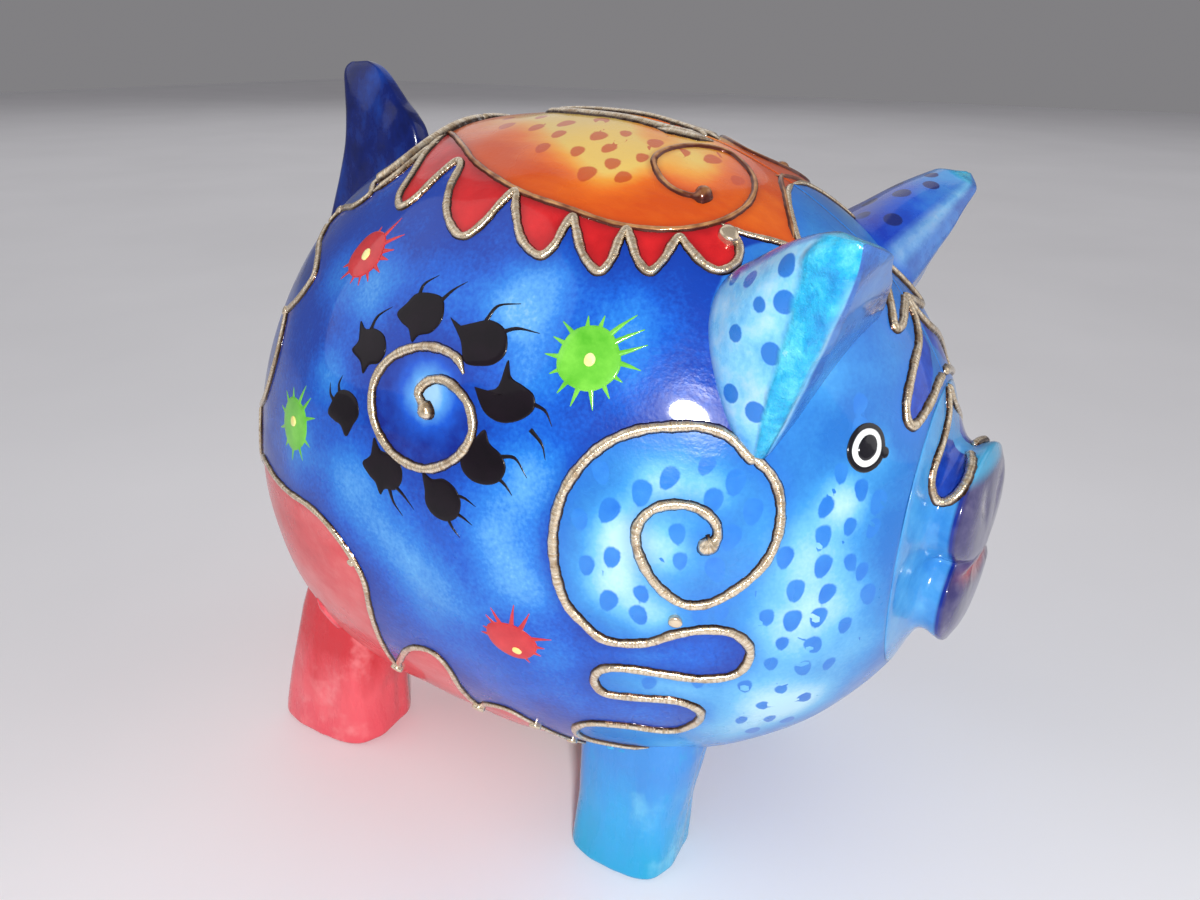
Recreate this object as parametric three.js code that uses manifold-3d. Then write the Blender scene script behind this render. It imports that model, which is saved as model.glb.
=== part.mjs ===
// Carved and painted wooden money box in the shape of a pig.
// Millimetres, +Z up, snout towards -Y, origin on the floor under the middle of the overall box.
import * as THREE from 'three';
import { mergeVertices } from 'three/addons/utils/BufferGeometryUtils.js';
import Module from 'manifold-3d';

const wasm = await Module();
wasm.setup();

// ---------- driving dimensions ----------
const GAP = 0.3; // glue and paint gap between neighbouring pieces

const BODY_HALF_HEIGHT = 75;
const BODY_WIDTH_RATIO = 0.84; // half width over half height
const BODY_FRONT_LENGTH = 90; // middle of the body to the theoretical nose point
const BODY_REAR_LENGTH = 81; // middle of the body to the rump
const BODY_FRONT_POWER = 2.2;
const BODY_FRONT_ROOT = 1.9;
const BODY_REAR_POWER = 2.7;
const BODY_CENTRE_HEIGHT = 87; // belly clears the floor by 12
const BODY_REAR_DROP = 12;
const BODY_FRONT_DROP = 2;
const NOSE_CUT = 82; // the block is sawn flat here for the snout

const SNOUT_RIM = 92.5; // edge of the snout face, in the middle
const SNOUT_DOME = 2.2; // how far the two lobes swell past the rim
const SNOUT_SKEW = 0.1; // the face was carved a little out of square
const SNOUT_FORWARD = 95.4; // its farthest point
const DROP_REACH = 87;

const CAVITY_HALF_HEIGHT = 66;
const CAVITY_FRONT_LENGTH = 73;
const CAVITY_REAR_LENGTH = 71;

const SLOT_LENGTH = 32;
const SLOT_WIDTH = 5;
const SLOT_FORWARD = 10; // slot middle in front of the body middle
const SLOT_FLOOR = 140;

const STOPPER_HEAD_RADIUS = 17;
const STOPPER_SHANK_RADIUS = 14.5;
const STOPPER_BOTTOM = 12;
const STOPPER_SHOULDER = 16.5;
const STOPPER_TOP = 20.7;

const DOWEL_RADIUS = 4;
const THIN_DOWEL_RADIUS = 2.5;
const DOWEL_BEVEL = 0.6;

// overall length is centred on the origin
const MIDDLE_Y = (SNOUT_FORWARD - BODY_REAR_LENGTH) / 2;

// ---------- colours ----------
const BLUE = 0x1f5fc8;
const SKY = 0x4aa3e6;
const TURQUOISE = 0x1f9fce;
const CORAL = 0xe0525c;
const NAVY = 0x12347a;
const PLUM = 0x5d5788;
const BARE_WOOD = 0xc9a36c;
const STOPPER_WOOD = 0xa8763e;

// ---------- body surface ----------
// s runs from the rump (negative) to the nose (positive) along the body's axis
function halfHeight(s, size, frontLength, rearLength) {
  if (s < 0) {
    const share = Math.min(-s / rearLength, 1);
    return size * Math.sqrt(Math.max(0, 1 - share ** BODY_REAR_POWER));
  }
  const share = Math.min(s / frontLength, 1);
  return size * Math.max(0, 1 - share ** BODY_FRONT_POWER) ** (1 / BODY_FRONT_ROOT);
}

function centreHeight(s) {
  if (s < 0) {
    return BODY_CENTRE_HEIGHT - BODY_REAR_DROP * (s / BODY_REAR_LENGTH) ** 2;
  }
  return BODY_CENTRE_HEIGHT - BODY_FRONT_DROP * (s / DROP_REACH) ** 2;
}

// turn is 0 on the spine and grows towards the pig's right side (-X)
function sectionPoint(s, turn, half, outset = 0) {
  const x = -(BODY_WIDTH_RATIO * half + outset) * Math.sin(turn);
  const z = centreHeight(s) + (half + outset) * Math.cos(turn);
  return new THREE.Vector3(x, MIDDLE_Y - s, z);
}

function bodyPoint(s, degrees, outset = 0) {
  const half = halfHeight(s, BODY_HALF_HEIGHT, BODY_FRONT_LENGTH, BODY_REAR_LENGTH);
  return sectionPoint(s, THREE.MathUtils.degToRad(degrees), half, outset);
}

// ---------- mesh helpers ----------
// closed skin over a row of rings that have the same number of points
function loft(rings) {
  const count = rings[0].length;
  const positions = [];
  const index = [];
  for (const ring of rings) {
    for (const p of ring) {
      positions.push(p.x, p.y, p.z);
    }
  }
  for (let k = 0; k < rings.length - 1; k += 1) {
    for (let i = 0; i < count; i += 1) {
      const a = k * count + i;
      const b = k * count + ((i + 1) % count);
      index.push(a, b, a + count, b, b + count, a + count);
    }
  }
  for (const [row, flip] of [[0, true], [rings.length - 1, false]]) {
    const middle = new THREE.Vector3();
    for (const p of rings[row]) {
      middle.add(p);
    }
    middle.divideScalar(count);
    const hub = positions.length / 3;
    positions.push(middle.x, middle.y, middle.z);
    for (let i = 0; i < count; i += 1) {
      const a = row * count + i;
      const b = row * count + ((i + 1) % count);
      index.push(...(flip ? [hub, b, a] : [hub, a, b]));
    }
  }
  const geometry = new THREE.BufferGeometry();
  geometry.setAttribute('position', new THREE.Float32BufferAttribute(positions, 3));
  geometry.setIndex(index);
  return geometry;
}

function solid(geometry) {
  const bare = geometry.clone();
  bare.deleteAttribute('normal');
  bare.deleteAttribute('uv');
  const merged = mergeVertices(bare, 1e-4);
  const build = (triVerts) => new wasm.Manifold(new wasm.Mesh({
    numProp: 3,
    vertProperties: new Float32Array(merged.attributes.position.array),
    triVerts,
  }));
  const triangles = new Uint32Array(merged.index.array);
  const first = build(triangles);
  if (first.volume() > 0) {
    return first;
  }
  const flipped = triangles.slice();
  for (let i = 0; i < flipped.length; i += 3) {
    flipped[i + 1] = triangles[i + 2];
    flipped[i + 2] = triangles[i + 1];
  }
  return build(flipped);
}

function geometryOf(manifold) {
  const mesh = manifold.getMesh();
  const geometry = new THREE.BufferGeometry();
  const points = [];
  for (let i = 0; i < mesh.vertProperties.length; i += mesh.numProp) {
    points.push(mesh.vertProperties[i], mesh.vertProperties[i + 1], mesh.vertProperties[i + 2]);
  }
  geometry.setAttribute('position', new THREE.Float32BufferAttribute(points, 3));
  geometry.setIndex(Array.from(mesh.triVerts));
  const flat = geometry.toNonIndexed();
  flat.computeVertexNormals();
  return flat;
}

function box(low, high) {
  const size = new THREE.Vector3().subVectors(high, low);
  const geometry = new THREE.BoxGeometry(size.x, size.y, size.z);
  geometry.translate((low.x + high.x) / 2, (low.y + high.y) / 2, (low.z + high.z) / 2);
  return solid(geometry);
}

// turned piece standing on +Z through a point, from pairs of radius and height
function turned(profile, x, y, segments = 40) {
  const points = profile.map(([radius, z]) => new THREE.Vector2(radius, z));
  const geometry = new THREE.LatheGeometry(points, segments);
  geometry.rotateX(Math.PI / 2);
  geometry.translate(x, y, 0);
  return solid(geometry);
}

// round pin between two points, with a small bevel at each end
function pin(from, to, radius, bevel) {
  const length = from.distanceTo(to);
  const points = [
    new THREE.Vector2(0, 0),
    new THREE.Vector2(radius - bevel, 0),
    new THREE.Vector2(radius, bevel),
    new THREE.Vector2(radius, length - bevel),
    new THREE.Vector2(radius - bevel, length),
    new THREE.Vector2(0, length),
  ];
  const geometry = new THREE.LatheGeometry(points, 20);
  const axis = new THREE.Vector3().subVectors(to, from).normalize();
  const turn = new THREE.Quaternion().setFromUnitVectors(new THREE.Vector3(0, 1, 0), axis);
  geometry.applyQuaternion(turn);
  geometry.translate(from.x, from.y, from.z);
  return solid(geometry);
}

const group = new THREE.Group();
group.name = 'pig_money_box';

function piece(name, manifold, color, roughness = 0.3) {
  const material = new THREE.MeshStandardMaterial({ color, roughness, metalness: 0 });
  material.name = `${name}_material`;
  const mesh = new THREE.Mesh(geometryOf(manifold), material);
  mesh.name = name;
  group.add(mesh);
}

function mirrored(point) {
  return new THREE.Vector3(-point.x, point.y, point.z);
}

// ---------- carved block ----------
function eggSolid(rows, columns, half, frontEnd, rearEnd, outset) {
  const rings = [];
  for (let k = 0; k <= rows; k += 1) {
    // rows gather towards both ends, where the block curves most
    const swing = (Math.PI * k) / rows;
    const s = (frontEnd - rearEnd) / 2 + ((frontEnd + rearEnd) / 2) * -Math.cos(swing);
    const ring = [];
    for (let i = 0; i < columns; i += 1) {
      ring.push(sectionPoint(s, (2 * Math.PI * i) / columns, half(s), outset));
    }
    rings.push(ring);
  }
  return solid(loft(rings));
}

const outerHalf = (s) => halfHeight(s, BODY_HALF_HEIGHT, BODY_FRONT_LENGTH, BODY_REAR_LENGTH);
const innerHalf = (s) => halfHeight(s, CAVITY_HALF_HEIGHT, CAVITY_FRONT_LENGTH, CAVITY_REAR_LENGTH);

const rumpEnd = BODY_REAR_LENGTH - 0.15;
const block = eggSolid(34, 56, outerHalf, NOSE_CUT, rumpEnd, 0);
const blockWithGap = eggSolid(34, 56, outerHalf, NOSE_CUT + GAP, rumpEnd + GAP, GAP);
const cavityEnds = [CAVITY_FRONT_LENGTH - 0.4, CAVITY_REAR_LENGTH - 0.4];
const cavity = eggSolid(20, 36, innerHalf, cavityEnds[0], cavityEnds[1], 0);

// ---------- legs ----------
// each row: height, distance from the middle plane, place along the body, half width, half length
const FRONT_LEG = [
  [0, 32, 33, 11, 12],
  [1.2, 32, 33, 12, 13],
  [14, 30.5, 33.5, 11, 12.8],
  [30, 28, 34, 11.5, 14.3],
  [50, 24, 34, 10, 13],
];
const REAR_LEG = [
  [0, 32, -58.5, 12, 16],
  [1.2, 32, -58.5, 13, 17],
  [14, 31, -57.8, 12, 15.6],
  [35, 28, -54, 12, 14.2],
  [66, 23, -47, 10, 12],
];
const LEG_CORNER = 3.4; // superellipse power of a leg's section

function legSolid(sections, side) {
  const rings = sections.map(([z, out, s, halfX, halfY]) => {
    const ring = [];
    for (let i = 0; i < 32; i += 1) {
      const a = (2 * Math.PI * i) / 32;
      const c = Math.cos(a);
      const d = Math.sin(a);
      const reach = (Math.abs(c) ** LEG_CORNER + Math.abs(d) ** LEG_CORNER) ** (-1 / LEG_CORNER);
      ring.push(new THREE.Vector3(side * (out + halfX * reach * c), MIDDLE_Y - s + halfY * reach * d, z));
    }
    return ring;
  });
  return solid(loft(rings));
}

const LEG_PIN_BOTTOM = 10;
const LEG_PINS = {
  front: { out: 29, s: 33.5, top: 31 },
  rear: { out: 27, s: -53.5, top: 39 },
};

// ---------- ears ----------
// foot of the ear on the block: place along the body, degrees from the spine
const EAR_FOOT = [
  [47.5, 36], [47, 42], [48.5, 48], [52, 55], [56, 61], [60, 63.5], [63.2, 56], [65.2, 48],
  [66.8, 40], [68.2, 32], [69.5, 24], [70, 17], [66, 12], [60, 15.5], [54.5, 23], [50.5, 30],
];
const EAR_TIP = new THREE.Vector3(-45, MIDDLE_Y - 73, 150);
const EAR_TIP_LENGTH = 4.2;
const EAR_TIP_THICKNESS = 1.8;

function earSolid() {
  const footCurve = new THREE.CatmullRomCurve3(
    EAR_FOOT.map(([s, degrees]) => bodyPoint(s, degrees)), true, 'centripetal',
  );
  const foot = footCurve.getPoints(32).slice(0, 32);
  const root = new THREE.CatmullRomCurve3(
    EAR_FOOT.map(([s, degrees]) => bodyPoint(s, degrees, -7)), true, 'centripetal',
  ).getPoints(32).slice(0, 32);
  const middle = new THREE.Vector3();
  for (const p of foot) {
    middle.add(p);
  }
  middle.divideScalar(foot.length);
  const lean = new THREE.Vector3().subVectors(EAR_TIP, middle).normalize();
  const along = new THREE.Vector3(0, -1, 0).projectOnPlane(lean).normalize();
  const across = new THREE.Vector3().crossVectors(lean, along);
  const rings = [root, foot];
  const steps = 9;
  for (let k = 1; k <= steps; k += 1) {
    const t = k / steps;
    const full = Math.sin((Math.PI / 2) * Math.min(1, (1 - t) * 4 + 0.35));
    rings.push(foot.map((p) => {
      const fromMiddle = new THREE.Vector3().subVectors(p, middle);
      const u = THREE.MathUtils.clamp(fromMiddle.dot(along) / 14, -1, 1);
      const v = THREE.MathUtils.clamp(fromMiddle.dot(across) / 14, -1, 1);
      const flat = new THREE.Vector3()
        .addScaledVector(along, u * EAR_TIP_LENGTH)
        .addScaledVector(across, v * EAR_TIP_THICKNESS);
      const tip = new THREE.Vector3().addVectors(EAR_TIP, flat);
      const swell = 1 + 0.1 * Math.sin(Math.PI * t);
      const point = new THREE.Vector3().lerpVectors(p, tip, t);
      const axis = new THREE.Vector3().lerpVectors(middle, EAR_TIP, t);
      return axis.add(point.sub(axis).multiplyScalar(swell * (k === steps ? full : 1)));
    }));
  }
  return solid(loft(rings));
}

// ---------- tail fin ----------
const TAIL_OUTLINE = [
  [43, 148], [45.5, 157.5], [48.5, 160.8], [50.5, 163.8], [53, 167.2], [56, 169.8], [60, 170.8],
  [64.8, 170.4], [66.6, 168.5], [66.6, 160], [67.6, 152], [70.4, 143.5], [73.8, 136], [77.2, 128],
  [79.2, 119], [79.8, 110], [76, 98], [60, 118],
];
const TAIL_THICKNESS = 8.5;
const TAIL_BEVEL = 2;

function tailSolid() {
  const shape = new THREE.Shape();
  const inner = TAIL_OUTLINE.map(([y, z]) => new THREE.Vector2(y, z));
  shape.moveTo(inner[0].x, inner[0].y);
  for (const p of inner.slice(1)) {
    shape.lineTo(p.x, p.y);
  }
  shape.closePath();
  const geometry = new THREE.ExtrudeGeometry(shape, {
    depth: TAIL_THICKNESS - 2 * TAIL_BEVEL,
    bevelEnabled: true,
    bevelThickness: TAIL_BEVEL,
    bevelSize: TAIL_BEVEL,
    bevelOffset: -TAIL_BEVEL,
    bevelSegments: 3,
    steps: 1,
  });
  geometry.translate(0, 0, TAIL_BEVEL - TAIL_THICKNESS / 2);
  const position = geometry.attributes.position;
  for (let i = 0; i < position.count; i += 1) {
    const y = position.getX(i);
    const z = position.getY(i);
    const x = position.getZ(i);
    // thicker at the root, thinner at the tip
    const swell = 1.25 - (0.5 * (z - 110)) / 60;
    position.setXYZ(i, x * swell, y + MIDDLE_Y, z);
  }
  return solid(geometry);
}

// ---------- snout ----------
// the sawn nose runs out into two lobes, the nose disc above and the lip below
const NOSE_LOBE = { z: 93, halfX: 16, halfZ: 11.8 };
const LIP_LOBE = { z: 73.5, halfX: 14, halfZ: 11.5 };

function lobedRadius(turn, centre) {
  // distance from the face's middle to the outer edge of the two lobes
  const dx = -Math.sin(turn);
  const dz = Math.cos(turn);
  let best = 0;
  for (const lobe of [NOSE_LOBE, LIP_LOBE]) {
    const oz = (centre - lobe.z) / lobe.halfZ;
    const ax = dx / lobe.halfX;
    const az = dz / lobe.halfZ;
    const a = ax * ax + az * az;
    const b = az * oz;
    const c = oz * oz - 1;
    const root = b * b - a * c;
    if (root > 0) {
      best = Math.max(best, (-b + Math.sqrt(root)) / a);
    }
  }
  return best;
}

function snoutSolid() {
  const count = 56;
  const centre = 84;
  const lobed = [];
  for (let i = 0; i < count; i += 1) {
    const turn = (2 * Math.PI * i) / count;
    const radius = lobedRadius(turn, centre);
    lobed.push([-Math.sin(turn) * radius, Math.cos(turn) * radius]);
  }
  // place along the body, share of the lobed outline, size of that outline
  const stations = [
    [NOSE_CUT + GAP, 0, 1],
    [83.4, 0.12, 1],
    [84.5, 0.3, 1],
    [85.7, 0.55, 0.99],
    [87, 0.8, 0.98],
    [88.5, 0.94, 0.97],
    [90, 1, 0.975],
    [91.2, 1, 1],
    [SNOUT_RIM - 0.4, 1, 1],
    [SNOUT_RIM, 1, 0.96],
    [SNOUT_RIM + 0.55 * SNOUT_DOME, 1, 0.84],
    [SNOUT_RIM + 0.9 * SNOUT_DOME, 1, 0.55],
    [SNOUT_RIM + SNOUT_DOME, 1, 0.25],
  ];
  const rings = stations.map(([s, blend, scale]) => lobed.map(([x, z], i) => {
    const turn = (2 * Math.PI * i) / count;
    const half = outerHalf(s);
    const round = sectionPoint(s, turn, half);
    const px = round.x * (1 - blend) + x * scale * blend;
    const pz = round.z * (1 - blend) + (centre + z * scale) * blend;
    return new THREE.Vector3(px, MIDDLE_Y - s - SNOUT_SKEW * px * blend, pz);
  }));
  return solid(loft(rings));
}

// ---------- belly stopper ----------
const stopper = turned([
  [0, STOPPER_BOTTOM],
  [STOPPER_HEAD_RADIUS - 1.8, STOPPER_BOTTOM],
  [STOPPER_HEAD_RADIUS, STOPPER_BOTTOM + 1.8],
  [STOPPER_HEAD_RADIUS, STOPPER_SHOULDER],
  [STOPPER_SHANK_RADIUS, STOPPER_SHOULDER],
  [STOPPER_SHANK_RADIUS, STOPPER_TOP - 1],
  [STOPPER_SHANK_RADIUS - 1, STOPPER_TOP],
  [0, STOPPER_TOP],
], 0, MIDDLE_Y);
const stopperHole = turned([
  [0, 0],
  [STOPPER_HEAD_RADIUS + GAP, 0],
  [STOPPER_HEAD_RADIUS + GAP, STOPPER_SHOULDER + GAP],
  [STOPPER_SHANK_RADIUS + GAP, STOPPER_SHOULDER + GAP],
  [STOPPER_SHANK_RADIUS + GAP, 40],
  [0, 40],
], 0, MIDDLE_Y);

// ---------- dowels ----------
const dowels = [];

function addDowel(name, from, to, radius = DOWEL_RADIUS) {
  const reach = new THREE.Vector3().subVectors(to, from).normalize().multiplyScalar(GAP);
  dowels.push({
    name,
    peg: pin(from, to, radius, DOWEL_BEVEL),
    socket: pin(from.clone().sub(reach), to.clone().add(reach), radius + GAP, 0.1),
  });
}

for (const [end, { out, s, top }] of Object.entries(LEG_PINS)) {
  for (const [sideName, side] of [['right', -1], ['left', 1]]) {
    const low = new THREE.Vector3(side * out, MIDDLE_Y - s, LEG_PIN_BOTTOM);
    const high = new THREE.Vector3(side * out, MIDDLE_Y - s, top);
    addDowel(`dowel_leg_${end}_${sideName}`, low, high);
  }
}
const earRoot = bodyPoint(57.5, 36, -7);
const earPeak = new THREE.Vector3().lerpVectors(bodyPoint(57.5, 36), EAR_TIP, 0.36);
addDowel('dowel_ear_right', earRoot, earPeak, THIN_DOWEL_RADIUS);
addDowel('dowel_ear_left', mirrored(earRoot), mirrored(earPeak), THIN_DOWEL_RADIUS);
addDowel(
  'dowel_tail',
  bodyPoint(-60, 0, -7.5),
  new THREE.Vector3(0, MIDDLE_Y + 61.5, 147),
  THIN_DOWEL_RADIUS,
);
addDowel(
  'dowel_snout',
  new THREE.Vector3(0, MIDDLE_Y - 75.5, 86),
  new THREE.Vector3(0, MIDDLE_Y - 88, 86),
);

const allSockets = dowels.map((dowel) => dowel.socket).reduce((sum, socket) => sum.add(socket));

// ---------- the two hollow halves ----------
const slotLow = new THREE.Vector3(-SLOT_WIDTH / 2, MIDDLE_Y - SLOT_FORWARD - SLOT_LENGTH / 2, SLOT_FLOOR);
const slotHigh = new THREE.Vector3(SLOT_WIDTH / 2, MIDDLE_Y - SLOT_FORWARD + SLOT_LENGTH / 2, 180);
const shell = block
  .subtract(cavity)
  .subtract(box(slotLow, slotHigh))
  .subtract(stopperHole)
  .subtract(allSockets);

function halfSpace(side) {
  const near = (side * GAP) / 2;
  const far = side * 120;
  return box(
    new THREE.Vector3(Math.min(near, far), -150, -20),
    new THREE.Vector3(Math.max(near, far), 150, 220),
  );
}

piece('body_right_half', shell.intersect(halfSpace(-1)), BLUE);
piece('body_left_half', shell.intersect(halfSpace(1)), BLUE);

// ---------- the carved limbs ----------
for (const [sideName, side] of [['right', -1], ['left', 1]]) {
  const front = legSolid(FRONT_LEG, side).subtract(blockWithGap).subtract(allSockets);
  const rear = legSolid(REAR_LEG, side).subtract(blockWithGap).subtract(allSockets);
  piece(`leg_front_${sideName}`, front, TURQUOISE, 0.35);
  piece(`leg_rear_${sideName}`, rear, CORAL, 0.35);
}
const rightEar = earSolid().subtract(blockWithGap);
piece('ear_right', rightEar.subtract(allSockets), SKY);
piece('ear_left', rightEar.mirror([1, 0, 0]).subtract(allSockets), SKY);
piece('tail_fin', tailSolid().subtract(blockWithGap).subtract(allSockets), NAVY);
piece('snout', snoutSolid().subtract(allSockets), PLUM);
piece('belly_stopper', stopper, STOPPER_WOOD, 0.6);

for (const dowel of dowels) {
  piece(dowel.name, dowel.peg, BARE_WOOD, 0.75);
}

export default group;
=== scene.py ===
"""Looks of the carved and painted wooden pig money box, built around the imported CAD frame."""
import math

import bmesh
import bpy
import numpy as np
from mathutils import Matrix, Vector
from mathutils.kdtree import KDTree


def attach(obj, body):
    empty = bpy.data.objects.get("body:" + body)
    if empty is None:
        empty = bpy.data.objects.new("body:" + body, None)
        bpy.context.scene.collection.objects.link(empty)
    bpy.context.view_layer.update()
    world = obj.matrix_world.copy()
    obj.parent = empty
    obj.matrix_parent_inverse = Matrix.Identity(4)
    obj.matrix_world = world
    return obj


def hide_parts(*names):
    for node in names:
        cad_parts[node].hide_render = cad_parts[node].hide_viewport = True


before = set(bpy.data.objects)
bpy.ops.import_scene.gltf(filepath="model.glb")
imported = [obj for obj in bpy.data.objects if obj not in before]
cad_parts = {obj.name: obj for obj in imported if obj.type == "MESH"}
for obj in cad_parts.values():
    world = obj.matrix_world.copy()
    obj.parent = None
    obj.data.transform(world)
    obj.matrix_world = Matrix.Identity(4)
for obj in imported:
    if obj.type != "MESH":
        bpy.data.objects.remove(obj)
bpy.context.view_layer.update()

MM = 0.001

# ---------- camera ----------
# close to the pig's right cheek, a little above it
CAMERA_AT = (-0.1762, -0.0965, 0.1764)
CAMERA_AIM = (0.0, 0.0020, 0.0839)
CAMERA_ROLL = 0.7
CAMERA_LENS = 27.0
CAMERA_SENSOR = 36.0

cam_data = bpy.data.cameras.new("camera")
cam_data.lens = CAMERA_LENS
cam_data.sensor_width = CAMERA_SENSOR
cam_data.clip_start = 0.01
cam = bpy.data.objects.new("camera", cam_data)
bpy.context.scene.collection.objects.link(cam)
cam.location = CAMERA_AT
look = (Vector(CAMERA_AIM) - Vector(CAMERA_AT)).to_track_quat("-Z", "Y")
cam.rotation_mode = "QUATERNION"
cam.rotation_quaternion = look @ Matrix.Rotation(math.radians(CAMERA_ROLL), 3, "Z").to_quaternion()
bpy.context.scene.camera = cam

# ---------- body surface, in millimetres, as in the CAD ----------
HALF = 75.0
RATIO = 0.84
FRONT, REAR = 90.0, 81.0
REAR_POWER, FRONT_POWER, FRONT_ROUNDING = 2.7, 2.2, 1.9
CENTRE_HEIGHT = 87.0
REAR_DROP, FRONT_DROP, FRONT_DROP_REACH = 12.0, 2.0, 87.0
MIDDLE_Y = 7.2
NOSE_CUT = 82.0
CAVITY_HALF, CAVITY_FRONT, CAVITY_REAR = 66.0, 73.0, 71.0
SLOT_MIDDLE, SLOT_HALF_LENGTH, SLOT_HALF_WIDTH = 10.0, 16.0, 2.5
# the stopper's hole: wide for its head up to the shoulder, then narrower for its shank
HOLE_RADIUS, SHANK_HOLE_RADIUS = 17.3, 14.8
SHOULDER_LOW, SHOULDER_HIGH = 16.8, 18.5
# half of the glue line between the two halves
SEAM = 0.15

# the snout's two lobes: height of the middle, half width, half height
NOSE_LOBE = (93.0, 16.0, 11.8)
LIP_LOBE = (73.5, 14.0, 11.5)
SNOUT_MIDDLE = 84.0
SNOUT_SKEW = 0.1
# place along the body, share of the lobed outline, its size, and 0 on the neck, 1 on the rim, 2 on the face
SNOUT_STATIONS = [
    (82.0, 0, 1, 0), (82.3, 0, 1, 0), (82.8, 0.05, 1, 0), (83.4, 0.12, 1, 0), (83.9, 0.2, 1, 0),
    (84.5, 0.3, 1, 0), (85.1, 0.43, 1, 0), (85.7, 0.56, 0.99, 0), (86.3, 0.68, 0.985, 0), (87, 0.8, 0.98, 0),
    (87.7, 0.88, 0.975, 0), (88.5, 0.94, 0.97, 0), (89.2, 0.98, 0.97, 0), (89.9, 1, 0.975, 0.05),
    (90.5, 1, 0.985, 0.15), (91.0, 1, 0.995, 0.4), (91.4, 1, 1, 0.8), (91.7, 1, 1, 1), (92.0, 1, 0.998, 1),
    (92.3, 1, 0.985, 1.3), (92.5, 1, 0.96, 1.8), (92.9, 1, 0.92, 2), (93.4, 1, 0.87, 2), (93.9, 1, 0.79, 2),
    (94.25, 1, 0.68, 2), (94.45, 1, 0.55, 2), (94.6, 1, 0.4, 2), (94.7, 1, 0.22, 2), (94.7, 1, 0.08, 2),
]
STATION_PLACES, STATION_FLARES, STATION_SCALES = np.array(SNOUT_STATIONS)[:, :3].T


def lobed_outline(turn):
    """Distance from the face's middle to the outer edge of the two lobes."""
    best = np.zeros(np.shape(turn))
    dx, dz = -np.sin(turn), np.cos(turn)
    for z, half_x, half_z in (NOSE_LOBE, LIP_LOBE):
        ax, az, oz = dx / half_x, dz / half_z, (SNOUT_MIDDLE - z) / half_z
        a, b, c = ax**2 + az**2, az * oz, oz**2 - 1
        root = b**2 - a * c
        best = np.maximum(best, np.where(root > 0, (-b + np.sqrt(np.clip(root, 0, None))) / a, 0))
    return best


def half_height(s, size=HALF, front=FRONT, rear=REAR):
    back = np.sqrt(np.clip(1 - np.clip(-s / rear, 0, 1) ** REAR_POWER, 0, None))
    fore = np.clip(1 - np.clip(s / front, 0, 1) ** FRONT_POWER, 0, None) ** (1 / FRONT_ROUNDING)
    return size * np.where(s < 0, back, fore)


def centre_height(s):
    drop = np.where(s < 0, REAR_DROP * (s / REAR) ** 2, FRONT_DROP * (s / FRONT_DROP_REACH) ** 2)
    return CENTRE_HEIGHT - drop


def carving(s, deg):
    """Slow unevenness that a knife and sandpaper leave."""
    return (
        0.16 * np.sin(0.11 * s + 0.05 * deg)
        + 0.12 * np.sin(0.19 * s - 0.09 * deg + 1.3)
        + 0.07 * np.sin(0.37 * s + 0.16 * deg + 2.1)
    )


def raw_skin(s, deg):
    """Point on the surface, s mm along the body towards the nose, deg from the spine to the pig's right."""
    s, deg = np.broadcast_arrays(np.asarray(s, float), np.asarray(deg, float))
    half = half_height(s)
    half = half + carving(s, np.abs(deg)) * np.clip(half / 30.0, 0, 1)
    turn = np.radians(deg)
    x = -RATIO * half * np.sin(turn)
    z = centre_height(s) + half * np.cos(turn)
    # past the nose cut the surface is the snout's, which runs out into its two lobes
    flare = np.interp(s, STATION_PLACES, STATION_FLARES)
    reach = lobed_outline(turn) * np.interp(s, STATION_PLACES, STATION_SCALES)
    x = x * (1 - flare) - np.sin(turn) * reach * flare
    z = z * (1 - flare) + (SNOUT_MIDDLE + np.cos(turn) * reach) * flare
    return np.stack([x, MIDDLE_Y - s - SNOUT_SKEW * x * flare, z], -1)


def skin_normal(s, deg):
    along = raw_skin(s + 0.3, deg) - raw_skin(s - 0.3, deg)
    down = raw_skin(s, deg + 0.4) - raw_skin(s, deg - 0.4)
    n = np.cross(down, along)
    return n / np.maximum(np.linalg.norm(n, axis=-1, keepdims=True), 1e-9)


def skin(s, deg, out=0.0):
    s, deg = np.broadcast_arrays(np.asarray(s, float), np.asarray(deg, float))
    if np.ndim(out) == 0 and out == 0.0:
        return raw_skin(s, deg)
    return raw_skin(s, deg) + skin_normal(s, deg) * np.asarray(out)[..., None]


def to_skin(points):
    """Place along the body and degrees from the spine of points near the surface."""
    s = MIDDLE_Y - points[..., 1]
    deg = np.degrees(np.arctan2(-points[..., 0] / RATIO, points[..., 2] - centre_height(s)))
    return s, deg


# ---------- curves ----------
def smooth(points, step, closed=False):
    """Catmull-Rom curve through the points, with about one step of their own units between its points."""
    p = np.asarray(points, float)
    if closed:
        p = np.vstack([p[-1], p, p[0], p[1]])
    else:
        p = np.vstack([2 * p[0] - p[1], p, 2 * p[-1] - p[-2]])
    out = []
    for a, b, c, d in zip(p[:-3], p[1:-2], p[2:-1], p[3:]):
        n = max(2, int(np.linalg.norm(c - b) / step) + 1)
        t = np.linspace(0, 1, n, endpoint=False)[:, None]
        out.append(
            0.5 * (2 * b + (c - a) * t + (2 * a - 5 * b + 4 * c - d) * t**2
                   + (3 * b - a - 3 * c + d) * t**3)
        )
    if not closed:
        out.append(p[-2:-1])
    return np.vstack(out)


# ---------- mesh helpers ----------
def new_object(name, verts, faces, material):
    mesh = bpy.data.meshes.new(name)
    mesh.from_pydata((np.asarray(verts) * MM).tolist(), [], [list(map(int, f)) for f in faces])
    mesh.materials.append(material)
    mesh.polygons.foreach_set("use_smooth", [True] * len(mesh.polygons))
    mesh.update()
    obj = bpy.data.objects.new(name, mesh)
    bpy.context.scene.collection.objects.link(obj)
    return obj


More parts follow.
